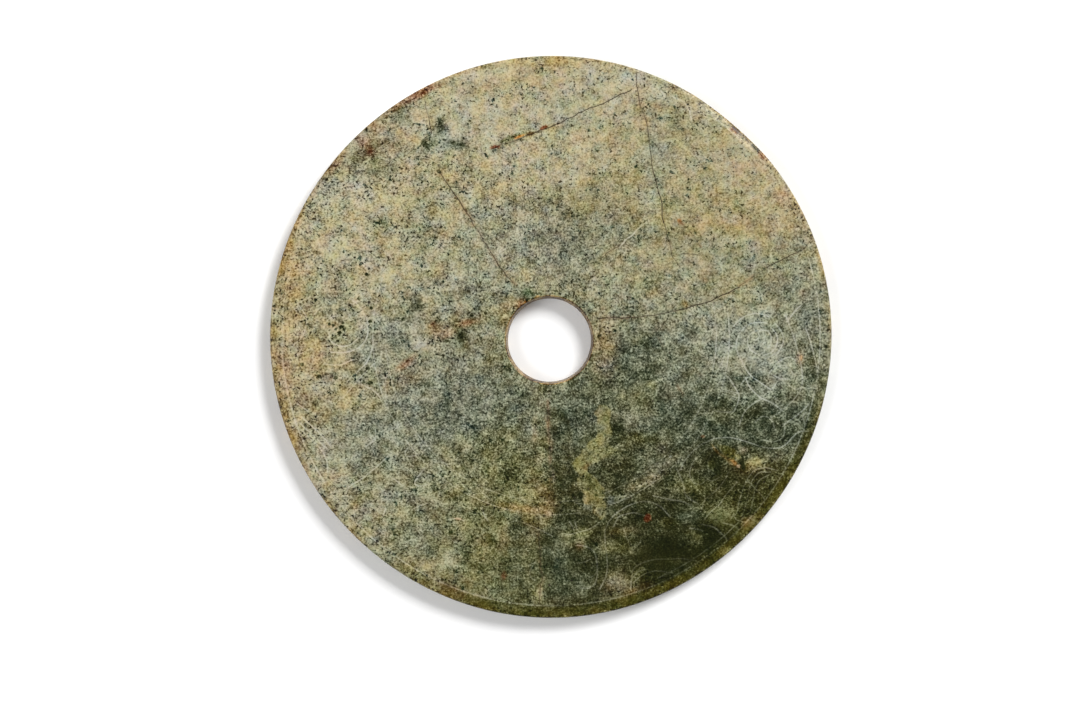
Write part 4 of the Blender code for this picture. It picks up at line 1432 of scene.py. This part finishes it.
def tinted(shares, base, patches, seed=41):
    """A base colour with patches laid over it in turn, each bent by noise so that its outline is torn.

    Small patches are bent less than broad ones, so that they stay in their places."""
    broad = np.stack([cloud(shares, 0.22, seed), cloud(shares, 0.22, seed + 1)], axis=-1)
    fine = np.stack([cloud(shares, 0.05, seed + 2), cloud(shares, 0.05, seed + 3)], axis=-1)
    bend = BROAD_BEND * broad + FINE_BEND * fine
    colour = base(shares + bend)
    for across, up, reach_across, reach_up, turn, name, strength in patches:
        bent = shares + min(1.0, 10 * min(reach_across, reach_up)) * bend
        cover = strength * oval_cover(bent, (across, up), reach_across, reach_up, turn)
        colour = laid_over(colour, cover, name)
    return colour


# %% Laying in the zones
SHORE_REACH = 0.016


def inside_share(spots, edge):
    """1 inside a closed line and 0 outside, changing across its edge rows.

    From inside, a straight way out crosses the line an odd number of times."""
    odd = np.zeros(len(spots), bool)
    for (x, y), (next_x, next_y) in zip(edge, np.roll(edge, -1, axis=0)):
        straddles = (spots[:, 1] < y) != (spots[:, 1] < next_y)
        crossing = x + (spots[:, 1] - y) * (next_x - x) / (next_y - y + 1e-12)
        odd ^= straddles & (spots[:, 0] < crossing)
    near = closeness(spots, edge, 1.6 * ZONE_EDGE)
    return np.where(odd, 1 - 0.5 * near, 0.5 * near)


def with_zones(spots, colour):
    """The colour with each zone laid in, and the share of the noise left at each point.

    Noise thins every zone here and there. The island keeps its left shore and breaks up to the right."""
    left = np.ones(len(spots))
    for across, up, reach_across, reach_up, calm in QUIET_FIELDS:
        left *= 1 - calm * oval_cover(spots / RADIUS, (across, up), reach_across, reach_up, 0)
    full = np.clip(0.85 + 0.55 * cloud(spots, 0.005, 59), 0.1, 1)
    shore = closeness(spots, RADIUS * np.array(ISLAND[:ISLAND_SHORE]), SHORE_REACH)
    shore = shore + 0.3 * cloud(spots, 0.004, 57)
    for (corners, name, strength, calm, fade), edge in zip(ZONES, zone_edges):
        cover = inside_share(spots, edge) * full
        if fade:
            cover *= smooth_step(1 - closeness(spots, edge, fade), 0, 1)
        stone = np.tile(np.array(STONE[name], float), (len(spots), 1))
        if corners is ISLAND:
            stone = tinted(spots / RADIUS, lambda shares: stone, ISLAND_STAINS, 58)
            cover *= smooth_step(shore, 0.15, 0.6)
        colour = colour + (strength * cover)[:, None] * (stone - colour)
        left *= 1 - (1 - calm) * cover
    return colour, left


# %% The colours below, and those along the rim and in the hole
def face_base(shares):
    """Cream above and sage below, changing where the height plus a little of the left is about zero."""
    height = smooth_step(shares[:, 1] - 0.15 * shares[:, 0], -0.5, 0.45)[:, None]
    return np.array(STONE["sage"]) * (1 - height) + np.array(STONE["cream"]) * height


def with_inclusions_and_shade(spots, colour):
    """The colour with each sharp-edged inclusion and rim stain, some with painted shade, laid in: full to
    0.85 of its reach and gone at 1.2.
    """
    for (across, up), reach_across, reach_up, turn, name, strength in INCLUSIONS + RIM_STAINS_AND_SHADE:
        away = oval_share(spots, (RADIUS * across, RADIUS * up), reach_across, reach_up, turn)
        cover = strength * (1 - smooth_step(away, 0.85, 1.2))
        colour = laid_over(colour, cover, name)
    return colour


def bark_and_shade_band(spots):
    """How much bark covers each spot, dark olive stone with painted shade: full outside the edge ring on the
    lower right, none elsewhere.
    """
    out = smooth_step(np.hypot(*spots.T) / RADIUS, 0.955, 0.975)
    # painted shade: the lower right of the rim, turned from the light, is darkened along with its dark olive
    # stone
    painted_shade_side = smooth_step(spots @ np.array([0.42, -0.91]) / RADIUS, 0.45, 0.85)
    return out * painted_shade_side * np.clip(0.8 + 0.3 * cloud(spots, 0.012, 55), 0, 0.95)


def weathered_and_shaded_edge(spots, colour):
    """Thin ochre on the rim's corner, a wider, darker band of it on the left, and bark with painted shade on
    the lower right.
    """
    out = np.hypot(*spots.T) / RADIUS
    corner = smooth_step(out, 0.978, 0.996) * np.clip(0.25 + 0.6 * cloud(spots, 0.02, 51), 0, 0.7)
    colour = laid_over(colour, corner, "ochre")
    left_side = smooth_step(-spots[:, 0] / RADIUS, 0.80, 0.96) * smooth_step(out, 0.962, 0.985)
    wide = left_side * np.clip(0.5 + 0.6 * cloud(spots, 0.014, 56), 0, 0.9)
    colour = colour + wide[:, None] * (np.array(STONE["ochre"]) * 0.93 - colour)
    return laid_over(colour, bark_and_shade_band(spots), "bark")


def hole_colour(spots):
    """Brown earth in the drilled hole: between ochre and umber by noise."""
    share = np.clip(0.5 + 0.7 * cloud(spots[:, :2] + spots[:, 2:], 0.006, 52), 0, 1)[:, None]
    return np.array(STONE["ochre"]) * (1 - share) + np.array(STONE["umber"]) * 1.15 * share


def under_base(shares):
    """The underside's drift between cream, sage and moss by two noises."""
    one = np.clip(0.5 + 0.8 * cloud(shares, 0.5, 53), 0, 1)[:, None]
    two = np.clip(0.4 + 0.9 * cloud(shares, 0.3, 54), 0, 1)[:, None]
    green = np.array(STONE["sage"]) * (1 - two) + np.array(STONE["moss"]) * two
    return np.array(STONE["cream"]) * (1 - one) + green * one


# %% The colour at every point of the mesh
# The rim's wall takes the face's colours as if it were folded outwards
rim_spots = rim_grid.reshape(-1, 3)[:, :2]
rim_shares = rim_spots / RADIUS * (0.985 + (THICKNESS - rim_grid.reshape(-1, 3)[:, 2:]) / RADIUS)
face_colour, face_calm = with_zones(face_spots, tinted(face_spots / RADIUS, face_base, FIELDS + PATCHES))
face_colour = with_inclusions_and_shade(face_spots, weathered_and_shaded_edge(face_spots, face_colour))
# the lower-right band of dark olive and painted shade also quiets the noise under it
face_calm *= 1 - 0.4 * bark_and_shade_band(face_spots)
rim_colour = weathered_and_shaded_edge(rim_spots, tinted(rim_shares, face_base, FIELDS + PATCHES))
rim_colour = with_inclusions_and_shade(RADIUS * rim_shares, rim_colour)
under_colour = weathered_and_shaded_edge(under_spots, tinted(under_spots / RADIUS, under_base, []))
colours = np.vstack([face_colour, rim_colour, hole_colour(hole_grid.reshape(-1, 3)), under_colour])
print(f"mean colour {colours[: len(face_spots)].mean(axis=0).round()}")

# %% The tone that noise swings around
# The eye's weights for red, green and blue, the darkest and palest mineral, how far each noise moves the
# tone, and what bruising does to it
LIGHTNESS = (0.30, 0.59, 0.11)
TONE_LOW, TONE_HIGH = 20 / 255, 205 / 255
TONE_MIDDLE, TONE_REACH = (TONE_HIGH + TONE_LOW) / 2, (TONE_HIGH - TONE_LOW) / 2
FELT_SWING, GRIT_SWING, THREAD_SWING, DRIFT_SWING = 8.6, 5.4, 1.1, 0.9
SPECK_SWING, CLOT_SWING = 2.7, 2.3
BRUISE_LIFT, BRUISE_CALM = 1.5, 0.45


def tone_of(colour):
    """The log odds of the colour's lightness between the darkest and palest mineral.

    Noise of one strength added to log odds gives dark specks on pale stone and pale threads on dark stone."""
    light = colour @ np.array(LIGHTNESS) / 255
    share = np.clip((light - TONE_LOW) / (TONE_HIGH - TONE_LOW), 0.02, 0.98)
    return 0.06 + 1.12 * np.log(share / (1 - share))


# %% Keeping it all with the mesh
def store(name, values):
    """Keep one number for each point of the mesh under a name."""
    mesh.attributes.new(name, "FLOAT", "POINT").data.foreach_set("value", np.asarray(values, np.float32))


rest = np.zeros(len(corners) - len(face_spots))
store("tone", tone_of(colours))
store("calm", np.concatenate([face_calm, rest + 1]))
store("bruise", np.concatenate([face_line, rest]))
store("split", np.concatenate([face_split, rest]))
store("rust", np.concatenate([face_rust, rest]))
painted = np.column_stack([colours / 255, np.ones(len(corners))]).astype(np.float32)
mesh.attributes.new("stone_colour", "FLOAT_COLOR", "POINT").data.foreach_set("color", painted.ravel())
print(f"kept with the mesh: {[layer.name for layer in mesh.attributes if not layer.is_internal]}")

# %% [markdown]
# ## The material: two minerals in one felt
# Seen close, the stone is a felt of pale fibres with a dark mineral between them. Where the pale felt
# dominates, the dark shows as specks; where the dark dominates, the pale shows as threads. One noise gives
# both when it is added to the tone kept with the mesh and the sum is bent into a lightness, so no specks are
# painted on top. Bruised lines lift the tone, rusty joints and open cracks are laid over it, and the same
# noises drive the gloss and the finest relief.

# %% A short way to add nodes
def new_material(name):
    """An empty node material with its output node."""
    material = bpy.data.materials.new(name)
    material.use_nodes = True
    material.node_tree.nodes.clear()
    return material, material.node_tree.nodes.new("ShaderNodeOutputMaterial")


def put(tree, kind, inputs=None, **settings):
    """A node with its settings by name; each input is a plain value or another node's output."""
    node = tree.nodes.new("ShaderNode" + kind)
    for name, value in settings.items():
        setattr(node, name, value)
    for socket, value in (inputs or {}).items():
        if isinstance(value, bpy.types.NodeSocket):
            tree.links.new(value, node.inputs[socket])
        else:
            node.inputs[socket].default_value = value
    return node


def ramp(tree, value, low, high, to_low=0.0, to_high=1.0):
    """A value's place between low and high as a smooth share, given out between two other numbers."""
    inputs = {"Value": value, "From Min": low, "From Max": high, "To Min": to_low, "To Max": to_high}
    return put(tree, "MapRange", inputs, interpolation_type="SMOOTHSTEP").outputs["Result"]


def math_of(tree, operation, first, second=0.5):
    """One sum, product or other operation; some use only the first number."""
    return put(tree, "Math", {0: first, 1: second}, operation=operation).outputs[0]


def sum_of(tree, *parts):
    """The sum of some values, each less its middle and times its own factor."""
    total = None
    for value, middle, factor in parts:
        part = math_of(tree, "MULTIPLY", math_of(tree, "SUBTRACT", value, middle), factor)
        total = part if total is None else math_of(tree, "ADD", total, part)
    return total


def added(tree, colour, amount, weights):
    """A colour plus an amount, a number or a colour, times a weight for each of red, green and blue."""
    inputs = {0: amount, 1: weights, 2: colour}
    return put(tree, "VectorMath", inputs, operation="MULTIPLY_ADD").outputs["Vector"]


def away_from_half(tree, colour):
    """Each channel less a half, so that it pulls both ways."""
    return put(tree, "VectorMath", {0: colour, 1: (0.5, 0.5, 0.5)}, operation="SUBTRACT").outputs["Vector"]


def mixed(tree, share, first, second):
    """Two colours mixed by a share."""
    return put(tree, "Mix", {0: share, 6: first, 7: second}, data_type="RGBA").outputs[2]


def noise(tree, place_on, aside, scale, detail, roughness, color=False):
    """Noise over the stone's own metres, about scale lumps in each, read aside so that no two coincide."""
    if aside:
        shift = {"Vector": place_on, "Location": (aside, 0.5 * aside, 0.0)}
        place_on = put(tree, "Mapping", shift).outputs[0]
    inputs = {"Vector": place_on, "Scale": scale, "Detail": detail, "Roughness": roughness}
    return put(tree, "TexNoise", inputs).outputs["Color" if color else "Fac"]


def kept(tree, name, color=False):
    """A number or colour kept with the mesh."""
    return put(tree, "Attribute", attribute_name=name).outputs["Color" if color else "Fac"]


def dot(tree, first, second):
    """The sum of the products of two vectors' parts."""
    return put(tree, "VectorMath", {0: first, 1: second}, operation="DOT_PRODUCT").outputs["Value"]


def scaled(tree, vector, factor):
    """A vector or colour times one number."""
    return put(tree, "VectorMath", {0: vector, "Scale": factor}, operation="SCALE").outputs["Vector"]


def paint(red, green, blue):
    """A screen colour, 0 to 255, as the shares from 0 to 1 that the stone is mixed in."""
    return (red / 255, green / 255, blue / 255, 1.0)


# %% The noises of the stone: how far aside, lumps in a metre, detail and roughness
FELT = (0.0, 110, 4, 1.0)
GRIT = (1.7, 1000, 1, 0.7)
DRIFT = (2.3, 120, 3, 0.65)
DOTS = (4.1, 720, 1, 0.5)
FLECKS = (5.2, 150, 2, 0.6)
CLOTS = (6.3, 330, 2, 0.6)
FIBRES = (8.9, 300, 1, 0.5)
THREAD_WIDTH = 0.022


def swing_of(tree, place_on, felt, drift):
    """Felt, grit, threads where a noise crosses its middle, and the slow drift, each by its own weight."""
    grit = noise(tree, place_on, *GRIT)
    fibres = math_of(tree, "SUBTRACT", noise(tree, place_on, *FIBRES), 0.5)
    threads = ramp(tree, math_of(tree, "ABSOLUTE", fibres), 0.0, THREAD_WIDTH, 1.0, 0.0)
    fine = (felt, 0.5, FELT_SWING), (grit, 0.5, GRIT_SWING), (threads, 0.15, THREAD_SWING)
    return sum_of(tree, *fine, (drift, 0.5, -DRIFT_SWING))


def dark_mineral(tree, place_on, drift, warm):
    """Specks and clots of dark mineral, which gather where the drift is high and the stone is warm."""
    gathered = math_of(tree, "MULTIPLY", ramp(tree, drift, 0.42, 0.60, 0.2, 1.15), warm)
    specks = math_of(tree, "MULTIPLY", gathered, ramp(tree, noise(tree, place_on, *DOTS), 0.605, 0.66))
    clots = math_of(tree, "MULTIPLY", ramp(tree, noise(tree, place_on, *CLOTS), 0.62, 0.72), gathered)
    return specks, clots


print(f"felt of {FELT[1]} lumps and grit of {GRIT[1]} in a metre")

# %% The small shifts of hue, as weights of red, green and blue
LIGHT_TINT = (1.0, 1.0, 0.93)
FLECK_TINT = (0.20, 0.06, 0.26)
CLOT_TINT = (-0.08, 0.0, 0.03)
EARTH_TINT = (0.20, -0.06, -0.34)
BRUISE_TINT = (0.0, -0.004, 0.03)
RUST_PAINT = paint(128, 88, 52)
CRACK_PAINT = paint(40, 30, 20)


def with_tints(tree, stone, earthy, flecks, clots, drift, bruise):
    """The stone with flecks of many hues, cooler clots, a drift between rusty and green, and colder cuts."""
    stone = added(tree, stone, scaled(tree, away_from_half(tree, flecks), earthy), FLECK_TINT)
    stone = added(tree, stone, clots, CLOT_TINT)
    earth = math_of(tree, "MULTIPLY", sum_of(tree, (drift, 0.5, -1.0)), earthy)
    stone = added(tree, stone, earth, EARTH_TINT)
    return added(tree, stone, bruise, BRUISE_TINT)


print(f"rust is laid on as {tuple(round(part, 2) for part in RUST_PAINT[:3])}")

# %% The jade
# The power and the factor that turn screen colours into the light that the stone sends back
SCREEN_GAMMA = 2.25
STONE_LIGHT = 0.77


def jade_material():
    """Carved nephrite: felt and dark mineral, tints, rust, bruised lines and cracks."""
    material, output = new_material("jade")
    tree = material.node_tree
    place_on = put(tree, "TexCoord").outputs["Object"]
    ground = kept(tree, "stone_colour", True)
    bruise = kept(tree, "bruise")
    felt = noise(tree, place_on, *FELT)
    drift = noise(tree, place_on, *DRIFT)
    warm = ramp(tree, dot(tree, ground, (1.0, -1.0, 0.0)), -0.03, 0.035, 0.45, 1.0)
    specks, clots = dark_mineral(tree, place_on, drift, warm)

    # the noises swing the tone, less on bruised lines and in calm stone, and the dark mineral sinks it
    swing = swing_of(tree, place_on, felt, drift)
    swing = math_of(tree, "MULTIPLY", swing, ramp(tree, bruise, 0.0, 1.0, 1.0, BRUISE_CALM))
    sunk = sum_of(tree, (specks, 0.0, SPECK_SWING), (clots, 0.0, CLOT_SWING))
    swing = math_of(tree, "MULTIPLY", math_of(tree, "SUBTRACT", swing, sunk), kept(tree, "calm"))
    lifted = math_of(tree, "ADD", kept(tree, "tone"), math_of(tree, "MULTIPLY", bruise, BRUISE_LIFT))
    tone = math_of(tree, "MULTIPLY", math_of(tree, "ADD", lifted, swing), 0.5)

    # the hyperbolic tangent of half the log odds undoes them: it gives back a lightness between the two ends
    light = math_of(tree, "MULTIPLY", math_of(tree, "TANH", tone), TONE_REACH)
    light = math_of(tree, "ADD", light, TONE_MIDDLE)
    was = dot(tree, ground, LIGHTNESS)
    stone = added(tree, ground, math_of(tree, "SUBTRACT", light, was), LIGHT_TINT)
    earthy = math_of(tree, "MULTIPLY", warm, was)
    flecks = noise(tree, place_on, *FLECKS, color=True)
    stone = with_tints(tree, stone, earthy, flecks, math_of(tree, "MULTIPLY", clots, was), drift, bruise)

    # rust and cracks on top, then from screen colours to light
    split = kept(tree, "split")
    rusted = math_of(tree, "MULTIPLY", kept(tree, "rust"), ramp(tree, felt, 0.42, 0.55))
    stone = mixed(tree, split, mixed(tree, rusted, stone, RUST_PAINT), CRACK_PAINT)
    stone = put(tree, "Gamma", {"Color": stone, "Gamma": SCREEN_GAMMA}).outputs[0]
    stone = scaled(tree, stone, STONE_LIGHT)

    # the pale felt is a little glossier; bruised and split stone is duller
    gloss = ramp(tree, felt, 0.35, 0.65, 0.34, 0.26)
    gloss = math_of(tree, "ADD", gloss, math_of(tree, "MULTIPLY", bruise, 0.2))
    gloss = math_of(tree, "ADD", gloss, math_of(tree, "MULTIPLY", split, 0.6))
    bump = put(tree, "Bump", {"Height": swing, "Strength": 0.3, "Distance": 0.00005})
    shader = put(tree, "BsdfPrincipled", {"Base Color": stone, "Roughness": gloss, "Normal": bump.outputs[0]})
    shader.inputs["IOR"].default_value = 1.5
    shader.inputs["Specular IOR Level"].default_value = 0.16
    tree.links.new(shader.outputs[0], output.inputs["Surface"])
    return material


disc.data.materials.append(jade_material())
print("the jade material is on the disc")

# %% [markdown]
# ## Floor, light and camera
# A flat thing is best seen from straight above. One large soft light from the upper right gives the cuts a
# lit and a dark side and throws the rim's shadow to the lower left; a weak one opposite keeps that shadow
# clear. The long lens keeps the outline a true circle.

# %% The floor
FLOOR_HALF = 4
PAPER = (0.97, 0.97, 0.97, 1.0)


def floor_material():
    """Matt white paper."""
    material, output = new_material("floor_paper")
    shader = put(material.node_tree, "BsdfDiffuse", {"Color": PAPER})
    material.node_tree.links.new(shader.outputs[0], output.inputs["Surface"])
    return material


floor_mesh = bpy.data.meshes.new("floor")
floor_corners = [(x * FLOOR_HALF, y * FLOOR_HALF, 0) for x, y in ((-1, -1), (1, -1), (1, 1), (-1, 1))]
floor_mesh.from_pydata(floor_corners, [], [(0, 1, 2, 3)])
floor_mesh.materials.append(floor_material())
floor = bpy.data.objects.new("floor", floor_mesh)
bpy.context.scene.collection.objects.link(floor)
print(f"floor {2 * FLOOR_HALF} m wide")

# %% The lights
ROOM_LIGHT = 0.2


def soft_light(name, spot, size, watts):
    """A square light, its side in metres, that faces the disc's middle."""
    lamp = bpy.data.lights.new(name, "AREA")
    lamp.size = size
    lamp.energy = watts
    holder = bpy.data.objects.new(name, lamp)
    holder.location = spot
    holder.rotation_euler = (-Vector(spot)).to_track_quat("-Z", "Y").to_euler()
    bpy.context.scene.collection.objects.link(holder)
    print(f"{name}: {watts} W")


soft_light("key", (3.1, 3.3, 3.6), 2.6, 425)
soft_light("fill", (-3.8, -1.3, 3.4), 3.6, 172)
world = bpy.data.worlds.new("studio")
bpy.context.scene.world = world
world.use_nodes = True
world.node_tree.nodes["Background"].inputs["Color"].default_value = (1.0, 1.0, 1.0, 1.0)
world.node_tree.nodes["Background"].inputs["Strength"].default_value = ROOM_LIGHT
bpy.context.scene.view_settings.view_transform = "Standard"

# %% The camera
CAMERA_HEIGHT = 1.496
CAMERA_PLACE = (-0.0055, -0.0117)
LENS, SENSOR_WIDTH = 100, 36
camera_data = bpy.data.cameras.new("camera")
camera_data.lens = LENS
camera_data.sensor_width = SENSOR_WIDTH
camera = bpy.data.objects.new("camera", camera_data)
camera.location = (*CAMERA_PLACE, THICKNESS + CAMERA_HEIGHT)
bpy.context.scene.collection.objects.link(camera)
bpy.context.scene.camera = camera
print(f"camera {CAMERA_HEIGHT} m above the face")
